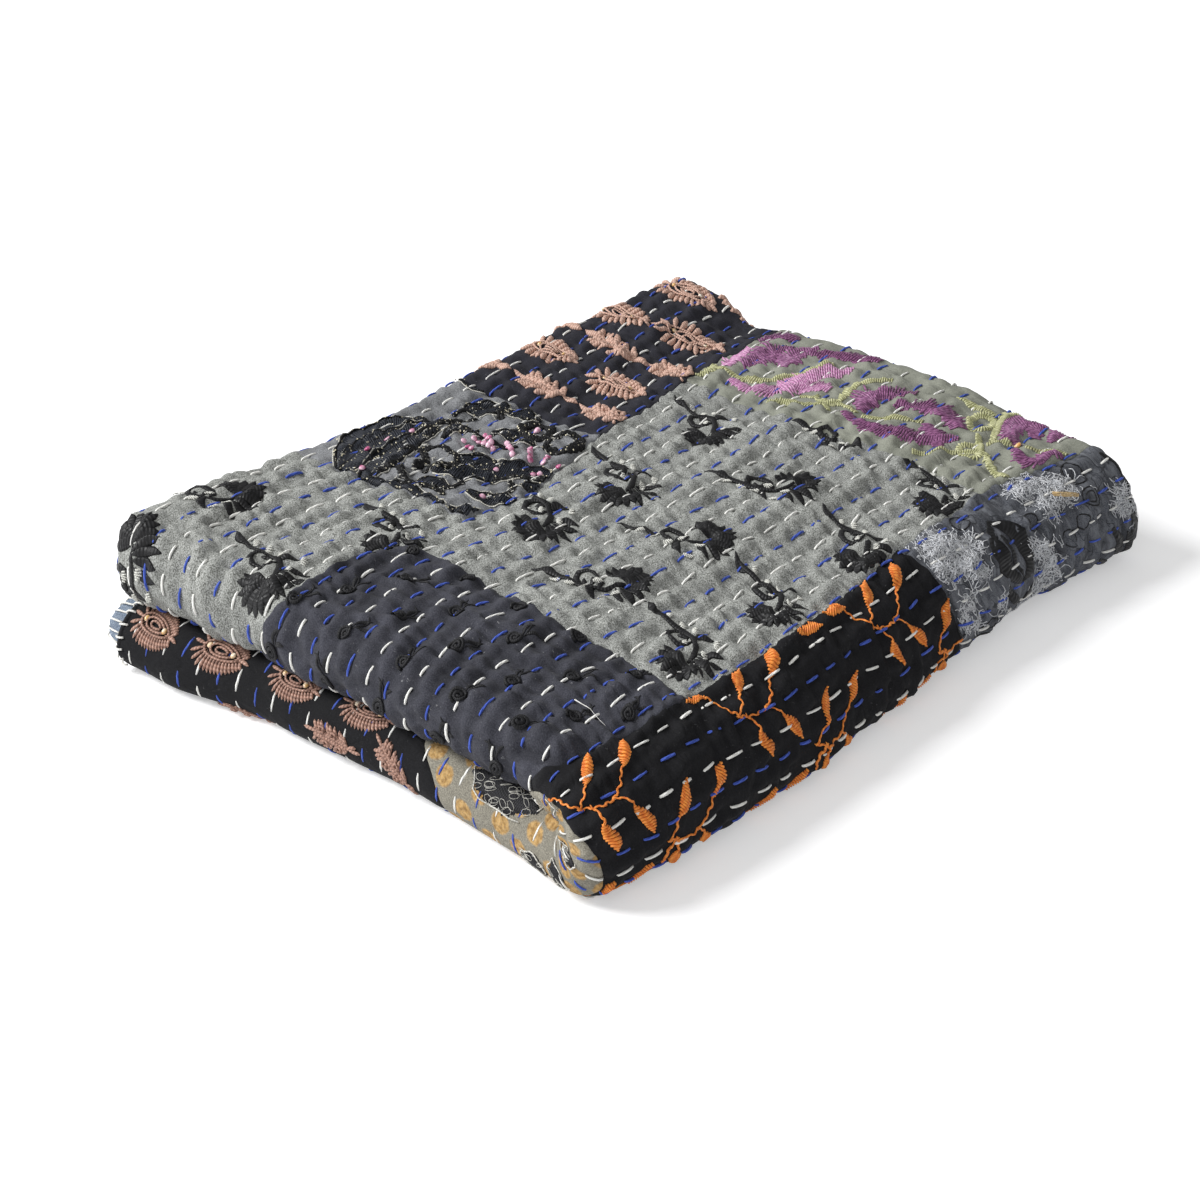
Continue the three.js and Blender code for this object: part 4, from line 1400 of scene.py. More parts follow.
class THROW_OT_rosettes(bpy.types.Operator):
    """Small black spiral rosettes with two leaves, in staggered columns on the charcoal patch"""

    bl_idname = "throw.rosettes"
    bl_label = "Charcoal rosettes"

    def execute(self, context):
        # The lighter second colour is a painted highlight between the plies
        black = thread_material("Black wool thread", (20, 20, 22), (40, 40, 43), 10.0, 1.0, 0.5, 0.02)
        threads = Threads()
        coils = stamp([spiral_path(3.6, 2.4, 26)], ROSETTES)
        threads.add_in("charcoal", coils, 0.85, 0.9, 0.8, 5, margin=3.0)
        add_motif(threads, "charcoal", ROSETTE_LEAVES, ROSETTES, 8, 5)
        threads.build("charcoal_rosettes", black, "black_thread")
        return {"FINISHED"}


# A sprig of satin leaves: stems as chain stitch, and each leaf from its base to its tip.
SPRIG_STEMS = [
    [(4, -4), (9, -6), (13, -7), (20, -7), (26, -4), (31, 1), (35, 5)], [(4, -3), (8, 1), (11, 5)],
    [(9, -6), (10, -11), (9, -15)], [(22, -7), (27, -11), (29, -15)],
]
SPRIG_LEAVES = [[(35, 4), (40, 10), (44, 16)], [(11, 5), (17, 11), (22, 18)],
                [(9, -14), (11, -20), (12, -27)], [(29, -14), (32, -21), (34, -28)]]
# How a sprig begins: from a leaf above it in the rows at the seam, from a stem below it in the others.
UPPER_LEAD = [(-7, 12), (-4, 9), (-1, 2), (4, -4)]
UPPER_LEAF = [(-7, 12), (-11, 14.5), (-15, 16)]
LOWER_LEAD = [(2, -16), (3, -10), (8, -6)]
SPRIG_LEAF_WIDTH = 6.4
# Leaves cut short by the seam over the big fold.
SEAM_LEAVES = [[(86, 30), (92, 26), (99, 23)], [(168, 29), (176, 24), (184, 20)],
               [(192, 27), (198, 24), (206, 21)]]
# Where the sprigs stand, one row at the seam and three below: (along, across, turn, scale, flip).
UPPER_SPRIGS = [(2 + 103.5 * k, 10.5, 0, 1.0, 1) for k in range(0, 3)]
LOWER_SPRIGS = [(along + 104 * k, across, turn, 1.0, 1)
                for along, across, turn in ((41, -22, 0), (-6, -56, 4), (40, -88, 0)) for k in range(-1, 3)]


class THROW_OT_sprigs(bpy.types.Operator):
    """Orange satin leaves on chain-stitched stems, round the big fold of the black patch"""

    bl_idname = "throw.sprigs"
    bl_label = "Orange sprigs"

    def execute(self, context):
        orange = thread_material("Orange silk thread", context.scene.throw_colours.orange_thread[:],
                                 (204, 96, 28), 3.0, 0.6, 0.35, 0.06, 0.12)
        threads = Threads()
        sprigs = UPPER_SPRIGS + LOWER_SPRIGS
        widths = SPRIG_LEAF_WIDTH / 2 * profile("leaf", 12)
        for number, leaf in enumerate(SPRIG_LEAVES):
            satin = comb(leaf, widths, 1.35, 0.3, jitter=0.12, seed=number)
            threads.add_satin("sprigs", stamp(satin, sprigs), 0.62, 0.62, 1.1)
        satin = comb(UPPER_LEAF, 0.8 * widths, 1.35, 0.3, seed=9)
        threads.add_satin("sprigs", stamp(satin, UPPER_SPRIGS), 0.62, 0.62, 1.1)
        for number, leaf in enumerate(SEAM_LEAVES):
            satin = comb(leaf, 3.2 * profile("leaf", 8), 1.1, 0.25, seed=30 + number)
            threads.add_satin("sprigs", satin, 0.5, 0.5, 1.1)
        stems = [(stem, sprigs) for stem in SPRIG_STEMS]
        for stem, places in stems + [(UPPER_LEAD, UPPER_SPRIGS), (LOWER_LEAD, LOWER_SPRIGS)]:
            chain = stamp(links(stem, 2.6, 3.8, 0.4), places)
            threads.add_in("sprigs", chain, 0.52 * profile("line", 5), 0.5, 0.45, 5)
        threads.build("orange_sprigs", orange, "orange_thread")
        return {"FINISHED"}


# ---- tan shells and stars
# Where they stand: (along, across, turn, scale, flip).
TOP_SHELLS = [(293, 316, 4, 1.0, 1), (294, 261, 4, 1.0, 1), (358, 322, 6, 1.15, 1), (373, 275, 10, 1.2, 1),
              (412, 313, 10, 1.05, 1)]
TOP_STARS = [(260, 286, 2, 1.0, 1), (263, 234, 2, 1.0, 1), (256, 338, 2, 1.0, 1), (326, 291, 2, 1.0, 1),
             (331, 243, 4, 1.0, 1), (322, 344, 2, 1.0, 1), (436, 280, 10, 1.0, 1), (420, 352, 8, 1.0, 1)]
FRONT_SHELLS = [(-25, -348, 172, 0.86, 1), (-26, -301, 174, 0.86, 1), (-27, -251, 176, 0.84, 1),
                (-29, -202, 178, 0.82, 1), (30, -330, 170, 0.9, 1), (30, -232, 176, 0.9, 1)]
SHELL_BEADS = [[(0, 8)], [(0.4, -11)]]
FRONT_STARS = [(-8, -216, 176, 0.72, 1), (8, -282, 172, 0.7, 1), (-9, -176, 140, 0.68, 1)]


def shell_paths(pitch):
    """A shell: fat ribs side by side stand out all round a drop-shaped line, swept towards its pointed
    tail; smaller drops of thread lie one inside the other in the middle."""
    drop = [(1.0, -17), (4.2, -9), (5.4, 1), (4.2, 9), (0, 12.5), (-4.2, 9), (-5.4, 1), (-4.2, -9),
            (-1.0, -17)]
    line = even_curve(drop, pitch)
    slope = np.gradient(line, axis=0)
    share = np.linspace(1, -1, len(line))
    heading = np.arctan2(slope[:, 1], slope[:, 0]) - math.pi / 2 - 0.6 * share * (1 - 0.5 * np.abs(share))
    reach = 8.4 - 3.6 * np.abs(share) ** 3
    arrow = unit(heading) * reach[:, None]
    ribs = line[:, None, :] + arrow[:, None, :] * np.linspace(-0.25, 1, 7)[None, :, None]
    tail = [[(0.8, -12), (0.4, -18), (-0.6, -24)], [(-0.8, -12), (-0.2, -17), (0.6, -22)]]
    ribs = np.concatenate([ribs, [curve(stroke, 7) for stroke in tail]])
    inner = [curve([(share * x, -2 + share * (y + 2)) for x, y in drop], 12) for share in (0.95, 0.62, 0.32)]
    return ribs, np.array(inner)


def star_paths(pitch):
    """A star of satin: fat short strokes in pairs up both sides of a line, a shorter pair over each, a
    point at the top and a tail below, with a few curls of thread on them."""
    strokes = []
    for place in np.arange(-15, 14, pitch):
        for side in (-1, 1):
            for reach, lean in ((11.5 - 0.012 * place**2, 58 + 9 * math.sin(place)), (6.0, 28)):
                strokes.append(ray(0, place, math.radians(90 - side * lean), reach))
    strokes += [[(0, 11), (0.4, 18), (0, 26)], [(0, -12), (-0.4, -19), (0.3, -26)],
                [(0, -14), (2, -18), (3, -22)]]
    rings = [ring_path(x, y, 2.0, 12) for x, y in ((4.2, 9), (-4.4, 5), (4.0, -2), (-3.8, -7))]
    return np.array([curve(stroke, 7) for stroke in strokes]), np.array(rings)


class THROW_OT_shells(bpy.types.Operator):
    """Tan shells with two beads each, and stars, of looped thread on the two black patches"""

    bl_idname = "throw.shells"
    bl_label = "Tan shells"

    def execute(self, context):
        tan = thread_material("Tan silk thread", context.scene.throw_colours.tan_thread[:],
                              (156, 116, 100), 6.0, 1.0, 0.3, 0.08, 0.1, 0.0004)
        # Painted shade: the shells and stars on the front face take this darker copy of the tan thread, for
        # the lesser light there
        shaded_tan = thread_material("Shaded tan thread", (190, 150, 132), (104, 74, 64), 5.0, 1.0, 0.4,
                                0.04, 0.1, 0.0004)
        beads = Threads()
        for patch, shells, stars, pitch, share, material in (
                ("shells_top", TOP_SHELLS, TOP_STARS, 3.1, 0.68, tan),
                ("shells_front", FRONT_SHELLS, FRONT_STARS, 2.2, 0.56, shaded_tan)):
            threads = Threads()
            for paths, places in ((shell_paths(pitch), shells), (star_paths(1.1 * pitch), stars)):
                width = share * pitch * profile("petal", 7)
                threads.add_in(patch, stamp(paths[0], places), width, 0.8 * width, 0.4, 6)
                threads.add_in(patch, stamp(paths[1], places), 0.7, 0.7, 1.3, 4)
            threads.build(f"tan_{patch}", material, "tan_thread")
            add_beads(beads, patch, stamp(SHELL_BEADS, shells), 1.5, 1.3)
        gilt = bead_material("Gilt beads", (222, 178, 116), (250, 240, 224), 0.12)
        beads.build("shell_beads", gilt, "beads")
        return {"FINISHED"}


BEAD_MARGIN = 0.5  # beads lie at least this far inside the seams


def add_beads(threads, patch, centres, radius, lift, flat=0.8):
    """Round beads: short tubes whose ring sizes follow a half circle, one at each centre."""
    centres = np.asarray(centres, float).reshape(-1, 1, 2)
    centres = centres[inside(patch, centres[:, 0, 0], centres[:, 0, 1]) > BEAD_MARGIN]
    angle = np.linspace(0.12, math.pi - 0.12, 6)
    path = centres + np.stack([-radius * np.cos(angle), 0 * angle], -1)[None]
    threads.add(path, radius * np.sin(angle), radius * flat * np.sin(angle), lift, 8)


# ---- the beaded flower on the silver patch: each petal's spine, from the heart outwards, and its width
SILVER_PETALS = [
    ([(116, 300), (134, 313), (152, 318), (170, 316), (184, 306)], 16),
    ([(111, 290), (128, 301), (148, 305), (168, 304), (188, 299)], 18),
    ([(114, 280), (130, 288), (148, 292), (166, 294), (182, 294)], 14),
    ([(118, 281), (121, 262), (121, 244), (122, 226)], 12), ([(124, 224), (128, 216), (134, 207)], 8),
    ([(148, 262), (158, 248), (170, 238), (182, 226), (190, 212)], 20),
    ([(166, 263), (172, 253), (178, 240)], 12), ([(142, 230), (147, 218), (155, 204)], 10),
    ([(208, 302), (217, 294), (226, 279)], 16), ([(228, 326), (231, 316), (234, 304)], 7),
    ([(202, 270), (206, 257), (207, 243)], 12), ([(136, 261), (139, 252), (142, 244)], 9),
    ([(178, 283), (187, 285), (196, 276)], 8), ([(223, 282), (229, 272), (232, 262)], 9),
    ([(166, 216), (172, 210), (180, 206)], 8),
]
SILVER_SCROLLS = [
    [(176, 284), (190, 287), (191, 270), (202, 262), (203, 252)],
    [(152, 290), (159, 284), (152, 272), (144, 272)], [(130, 285), (139, 281), (132, 266), (131, 251)],
    [(200, 300), (212, 298), (222, 288), (216, 278)],
    [(208, 236), (220, 240), (228, 232), (222, 222), (210, 226)],
    [(160, 284), (168, 276), (166, 262), (156, 254)], [(146, 266), (156, 262), (162, 254)],
    [(134, 246), (142, 240), (150, 242)], [(150, 216), (160, 214), (168, 222)],
    [(166, 232), (176, 222), (184, 208)], [(126, 262), (132, 252), (134, 240)],
    [(184, 262), (192, 256), (196, 248)], [(172, 292), (180, 296), (192, 296), (204, 288)],
]
# Bands of cord: centre, radius, first and last turn. The first one rings a large sequin.
SILVER_RINGS = [(219, 252, 9.5, 0.3, 6.2), (219, 231, 10.5, -3.4, 1.4)]
# Chains of sequins between the petals: (along, across) of each chain's two ends.
SEQUIN_CHAINS = [((186, 269), (187, 255)), ((194, 268), (187, 255)), ((197, 254), (190, 243)),
                 ((202, 241), (192, 231)), ((203, 228), (195, 224)), ((199, 216), (203, 214)),
                 ((180, 271), (177, 262)), ((168, 301), (168, 301)), ((135, 300), (135, 300)),
                 ((123, 289), (123, 289)), ((119, 241), (119, 241)), ((146, 222), (146, 222)),
                 ((172, 238), (172, 238)), ((183, 220), (186, 218)), ((152, 304), (152, 304))]


class THROW_OT_beaded_flower(bpy.types.Operator):
    """A large black satin flower with pink sequins and small glinting beads on the silver patch"""

    bl_idname = "throw.beaded_flower"
    bl_label = "Beaded flower"

    def execute(self, context):
        # The lighter second colours are painted highlights between the plies
        navy = thread_material("Ink satin thread", (20, 22, 28), (45, 49, 59), 5.0, 0.0, 0.5, 0.0, 0.1)
        black = thread_material("Black cord", (10, 10, 11), (30, 30, 32), 9.0, 1.0, 0.4, 0.0)
        tinsel = thread_material("Pale edging thread", (232, 230, 220), (120, 118, 110), 9.0)
        satin, cords, dots, gilt, pink, edging = Threads(), Threads(), [], Threads(), Threads(), Threads()
        rng = np.random.default_rng(17)
        for number, (spine, width) in enumerate(SILVER_PETALS):
            shape = width / 2 * profile("leaf", 10)
            satin.add_satin("silver", comb(spine, shape, 1.3, 0.4, seed=number), 0.62, 0.55, 0.9)
            pale = comb(spine, shape + 1.4, 3.4, jitter=0.25, seed=number)[:, (0, -1)].transpose(1, 0, 2)
            edging.add_in("silver", pale, 0.42, 0.4, 0.45, 4)
            rim = comb(spine, shape * 1.06, 1.5, jitter=0.0)
            for side in (rim[:, 0], rim[:, -1]):
                edge = np.stack([side[k:k + 4] for k in range(0, len(side) - 3, 3)])
                cords.add_in("silver", edge, 0.75, 0.6, 0.6, 5)
            dots += [rim[:, 0], rim[:, -1], rim[:, 2]]
        for scroll in SILVER_SCROLLS:
            cords.add_in("silver", links(scroll, 1.7, 3.4, 1.2), 1.2, 0.8, 0.5, 5)
            fringe = short_threads(even_curve(scroll, 4.5), 2.0, 3, 4.0, len(scroll))
            edging.add_in("silver", fringe, 0.3, 0.3, 0.8, 3)
            dots.append(even_curve(scroll, 2.6))
        for x, y, radius, first, last in SILVER_RINGS:
            for share in (1.0, 0.75):
                circle = (x, y) + radius * share * unit(np.linspace(first, last, 7))
                band = links(circle, 1.7, 3.2, 0.8)
                cords.add_in("silver", band, 1.3, 0.9, 0.5, 5)
                dots.append(band[:, 2])
        satin.build("silver_patch_flower", navy, "black_thread")
        cords.build("silver_patch_cords", black, "black_thread")
        edging.build("silver_patch_edging", tinsel, "white_thread")
        dots = np.concatenate(dots)
        chosen = dots[rng.random(len(dots)) < 0.3]
        add_beads(gilt, "silver", chosen + rng.normal(0, 0.9, chosen.shape), 0.45, 1.1)
        mixed = bead_material("Ink and gilt beads", (40, 40, 44), (255, 246, 214), 0.15)
        gilt.build("silver_patch_beads", mixed, "beads")
        for start, end in np.array(SEQUIN_CHAINS, float):
            for share in np.linspace(0, 1, int(np.linalg.norm(end - start) / 3.2) + 1):
                add_beads(pink, "silver", [start + (end - start) * share], 1.75, 1.5, 0.6)
        add_beads(pink, "silver", [SILVER_RINGS[0][:2]], 2.2, 1.4, 0.7)
        rose = bead_material("Pink sequins", (188, 84, 132), (244, 206, 224), 0.14)
        pink.build("pink_sequins", rose, "beads")
        return {"FINISHED"}


# ---- plum and pink flowers with green vines on the olive patch: spine points and half widths
PLUM_PETALS = [
    ([(384, 246), (398, 248), (412, 242), (418, 226)], [4, 8, 9, 8, 4]),
    ([(366, 224), (380, 222), (394, 226), (404, 218)], [3, 8, 9, 7, 4]),
    ([(380, 206), (396, 212), (412, 206)], [3, 8, 9, 7, 3]),
    ([(404, 204), (414, 188), (422, 168)], [3, 6, 7, 4]),
    ([(366, 136), (380, 142), (394, 136), (402, 126)], [3, 8, 9, 8, 4]),
    ([(382, 124), (391, 112), (392, 98), (386, 84)], [3, 7, 8, 8, 4]),
    ([(356, 138), (350, 120), (354, 104), (364, 89), (378, 78)], [3, 5, 7, 6, 3]),
    ([(376, 97), (370, 88), (363, 80)], [3, 6, 6, 3]),
    ([(398, 54), (401, 62), (412, 68), (424, 68), (430, 62)], [3, 6, 8, 7, 4]),
    ([(414, 54), (422, 60), (430, 58)], [3, 5, 6, 3]), ([(416, 46), (426, 48), (432, 40)], [2, 4, 5, 3]),
    ([(391, 48), (387, 38), (389, 32), (400, 33), (407, 32)], [3, 6, 8, 7, 4]),
]
PINK_PETALS = [
    ([(346, 216), (346, 200), (354, 187), (376, 185), (402, 172)], [3, 7, 9, 8, 4]),
    ([(360, 186), (368, 177), (371, 164)], [3, 6, 6, 3]),
    ([(358, 230), (373, 237), (388, 240)], [4, 7, 8, 5]),
]
VINES = [
    [(334, 236), (342, 231), (352, 232)], [(350, 234), (351, 218), (357, 202), (372, 194), (400, 185)],
    [(338, 182), (348, 167), (354, 155), (363, 149), (362, 136)], [(358, 174), (360, 163), (352, 148)],
    [(364, 151), (384, 156), (396, 155), (407, 147)], [(362, 131), (368, 116), (377, 102)],
    [(347, 84), (358, 77), (366, 71), (375, 64), (378, 56)], [(412, 104), (412, 92), (414, 85), (416, 78)],
    [(430, 74), (423, 78), (411, 75), (401, 70), (392, 66)],
    [(396, 84), (405, 87), (411, 82), (406, 76), (397, 75), (393, 80), (397, 86)],
    [(388, 72), (382, 66), (372, 59), (368, 66), (373, 72), (380, 68)], [(386, 64), (392, 61), (397, 55)],
    [(399, 48), (405, 41), (411, 32)], [(378, 58), (370, 49), (366, 40), (364, 31)],
]
VINE_BEAD = (398, 53)


class THROW_OT_vines(bpy.types.Operator):
    """Plum and pink satin flowers with yellow-green vines on the olive patch"""

    bl_idname = "throw.vines"
    bl_label = "Satin flowers and vines"

    def execute(self, context):
        c = context.scene.throw_colours
        for name, rows, base, tone_and_shading, slot, pitch in (
            ("plum_petals", PLUM_PETALS, c.plum_thread[:], (100, 48, 92), "purple_thread", 1.45),
            ("pink_petals", PINK_PETALS, c.pink_thread[:], (176, 106, 158), "purple_thread", 1.45),
            ("green_vines", [(vine, [1.5, 2.4, 2.2, 2.5, 1.5]) for vine in VINES], c.green_thread[:],
             (146, 148, 98), "green_thread", 1.35),
        ):
            threads = Threads()
            for number, (spine, widths) in enumerate(rows):
                satin = comb(spine, widths, pitch, 0.35, jitter=0.5, seed=number)
                threads.add_satin("olive", satin, 0.46 * pitch, 0.6, 0.9)
            material = thread_material(name.replace("_", " ").title(), base, tone_and_shading, 3.0, 1.0, 0.4, 0.1, 0.15)
            threads.build(name, material, slot)
        beads = Threads()
        add_beads(beads, "olive", [VINE_BEAD], 1.9, 1.2)
        amber = bead_material("Amber bead", (214, 140, 50), (255, 236, 190), 0.1)
        beads.build("vine_bead", amber, "beads")
        return {"FINISHED"}


# ---- the blue-grey patch
# Where the fields stand: (along, across, radius).
FUZZ_FIELDS = [
    (280, 22, 9), (292, 20, 11), (304, 12, 8), (288, 6, 8), (300, 0, 7), (278, 10, 6), (284, -12, 6),
    (352, -14, 8), (354, -24, 7), (346, -32, 7), (330, -46, 8), (346, -6, 5), (362, 24, 8), (374, 24, 7),
    (278, -23, 5), (288, -27, 5), (380, 14, 8), (368, 10, 8), (390, 14, 6), (420, -2, 6), (416, -10, 7),
    (426, -12, 6), (308, -24, 5),
]
# Ovals and leaves, in rows like those of the carnation, standing where they are drawn.
OVALS = [
    ("leaf", 11.5, 0.6, [(327, 18), (321, 8), (320, -3), (322, -13), (330, -22)]),
    ("leaf", 11.5, 0.6, [(327, 18), (336, 10), (339, -1), (338, -12), (331, -22)]),
    ("line", 3.0, 0.5, [(327, 9), (328, 0), (328, -9), (330, -18)]),
    ("leaf", 6.0, 0.6, [(318, -18), (320, -26), (329, -36)]),
    ("leaf", 5.0, 0.6, [(339, -26), (336, -31), (330, -37)]),
    ("leaf", 9.0, 0.6, [(404, -18), (408, -28), (411, -38), (408, -50)]),
    ("leaf", 7.0, 0.6, [(416, -26), (420, -38), (416, -50)]),
    ("leaf", 6.0, 0.6, [(398, -40), (404, -48), (408, -56)]),
    ("leaf", 7.0, 0.6, [(424, 22), (430, 14), (430, 2), (429, -10)]),
    ("leaf", 5.0, 0.5, [(286, -42), (300, -46), (312, -46)]),
    ("leaf", 11.0, 0.5, [(431, 24), (433, 8), (429, -8), (424, -22), (418, -38)]),
]
FIBRES = 1500
FIBRE_RADIUS = 0.23
SLUB = np.array([(377, 13.5), (380, 11.5), (384, 10.5), (388, 8.0)])
SLUB_STRANDS = 9
# Thin rings: (along, across, radius).
SCROLL_RINGS = [(398, 4, 5.5), (398, 4, 3.2), (399, 19, 6.5), (385, -7, 4.5), (372, -12, 5.0), (352, 6, 5.0),
                (300, -34, 5.0), (276, -24, 4.5), (312, 26, 5.0)]


def wool_field(along, across):
    """1 in the middle of the fields of pale fibres, fading to 0 round them."""
    fields = [np.exp(-(((along - x) / r) ** 2) - ((across - y) / r) ** 2) for x, y, r in FUZZ_FIELDS]
    return np.clip(np.sum(fields, axis=0), 0, 1)


class THROW_OT_ovals(bpy.types.Operator):
    """Black ovals, thin scrolls, curled pale fibres and a cream slub on the blue-grey patch"""

    bl_idname = "throw.ovals"
    bl_label = "Blue-grey embroidery"

    def execute(self, context):
        # The lighter second colour is a painted highlight between the plies
        black = thread_material("Black satin thread", (10, 10, 11), (30, 30, 33), 5.0, 0.0, 0.5, 0.0,
                                0.1, 0.0004)
        ovals = Threads()
        add_motif(ovals, "blue_grey", OVALS, [(0, 0, 0, 1.0, 1)], 14, 9)
        rings = [ring_path(x, y, r, 20) for x, y, r in SCROLL_RINGS]
        ovals.add(np.array(rings), 0.45, 0.3, 0.1, 4)
        ovals.build("black_ovals", black, "black_thread")
        rng = np.random.default_rng(23)
        fields = np.array(FUZZ_FIELDS, float)
        pick = rng.choice(len(fields), FIBRES, p=fields[:, 2] ** 2 / (fields[:, 2] ** 2).sum())
        centre = fields[pick, :2] + rng.normal(0, 0.52, (FIBRES, 2)) * fields[pick, 2:]
        heading = rng.uniform(0, 2 * math.pi, FIBRES)[:, None]
        heading = heading + np.cumsum(rng.normal(0, 0.55, (FIBRES, 6)), axis=1)
        steps = unit(heading) * rng.uniform(0.5, 1.6, (FIBRES, 1, 1))
        paths = keep_inside("blue_grey", centre[:, None, :] + np.cumsum(steps, axis=1))[0]
        fuzz = Threads()
        fuzz.add(paths, FIBRE_RADIUS, FIBRE_RADIUS, rng.uniform(0.1, 0.9, (len(paths), 1)), 3)
        pale = thread_material("Pale wool fibre", (244, 245, 247), (176, 180, 187), 3.0)
        fuzz.build("pale_fibres", pale, "white_thread")
        slub = Threads()
        strands = SLUB + rng.normal(0, 0.8, (SLUB_STRANDS, 1, 2)) + rng.normal(0, 0.25, (SLUB_STRANDS, 4, 2))
        slub.add(strands, 0.55, 0.5, rng.uniform(0.4, 1.1, (SLUB_STRANDS, 1)), 5)
        cream = thread_material("Cream wool", (222, 196, 150), (176, 146, 100), 4.0)
        slub.build("cream_slub", cream, "tan_thread")
        return {"FINISHED"}


# ---- dark spangled blobs on the spotted patch: (along, across, half length, half width, heading)
BLOBS = [(-26, -108, 21, 10, 88), (-1, 27, 15, 7, 78), (-12, -31, 10, 7, 75), (-6, -64, 8, 7, 90),
         (-2, -84, 8, 6, 85)]


class THROW_OT_spangles(bpy.types.Operator):
    """Black spangled blobs outlined in white thread on the spotted patch"""

    bl_idname = "throw.spangles"
    bl_label = "Spangled blobs"

    def execute(self, context):
        dark, pale = Threads(), Threads()
        rng = np.random.default_rng(31)
        for along, across, length, width, heading in BLOBS:
            place = [(along, across, heading, 1, 1)]
            satin = comb([(-length, 0), (0, 0), (length, 0)], width * profile("leaf", 9), 1.1, 0.2,
                         seed=int(length))
            dark.add_satin("spotted", stamp(satin, place), 0.7, 0.4, 0.7)
            angle = np.linspace(0, 2 * math.pi, 22)
            outline = (1 + 0.1 * np.sin(5 * angle))[:, None] * unit(angle) * (length, width)
            segments = np.stack([outline[k:k + 4] for k in range(0, 18, 3)])
            pale.add_in("spotted", stamp(segments, place), 0.38, 0.36, 0.6, 5)
            cells = rng.uniform(-0.8, 0.8, (int(0.13 * length * width), 2)) * (length, width)
            cells = cells[((cells / (length, width)) ** 2).sum(1) < 0.8]
            turn = np.linspace(0, 6.3, 8)
            rings = np.stack([2.6 * np.cos(turn + cells[:, :1]), 1.7 * np.sin(turn) + 0 * cells[:, :1]], -1)
            pale.add_in("spotted", stamp(cells[:, None] + rings, place), 0.13, 0.13, 0.9, 4)
        knot = short_threads([(-5, 36), (-4, 40)], 1.2, 11, 5.0, 12)
        pale.add_in("spotted", knot, 0.3, 0.3, 1.3, 4)
        # The lighter second colour is a painted highlight between the plies
        black = thread_material("Black spangles", (14, 14, 15), (50, 50, 54), 8.0, 1.0, 0.6, 0.0)
        dark.build("dark_spangles", black, "black_thread")
        white = thread_material("Fine white thread", (228, 226, 218), (150, 148, 140), 6.0)
        pale.build("spangle_outlines", white, "white_thread")
        return {"FINISHED"}


# ---------------------------------------------------------------- hems and loose ends
HEM_RADIUS = 1.5
HEM_DEPTH = 1.75  # how far the middle of the rolled hem lies below the skin
DENIM_LIP = 13.0  # how far the inner hem bulges past the outer one
DENIM_COVER = 12.0  # how far it reaches in under the outer one
DENIM_THICKNESS = 1.6
# A stitch's way round each hem: (inwards from the outer hem, height over the skin).
HEM_SECTION = np.array([(6.0, 0.1), (4.0, 0.75), (1.5, 0.6), (-0.8, -0.9), (-1.0, -2.6), (0.8, -3.6),
                        (4.0, -3.4)])
DENIM_SECTION = np.array([(-1.0, -2.0), (-4.0, -2.4), (-8.0, -2.9), (-11.5, -3.8), (-13.4, -5.6),
                          (-13.0, -7.2)])
# The loose thread: (along, across) at each point, and its height over the cloth there.
LOOSE_THREAD = [(43, 60), (43, 54), (42, 48), (42.5, 42), (43, 37)]
LOOSE_HEIGHT = np.array([0.4, 1.4, 2.6, 3.0, 2.4, 1.6, 0.8])


def whip_stitches(start, advance, section):
    """Stitches over a hem: each goes forward by the advance while it follows the section round it."""
    inward, height = section.T
    along = start + np.linspace(0, advance, len(section))
    return skin_point(along, HEM_ACROSS + inward + 0 * start, height + 0 * start)


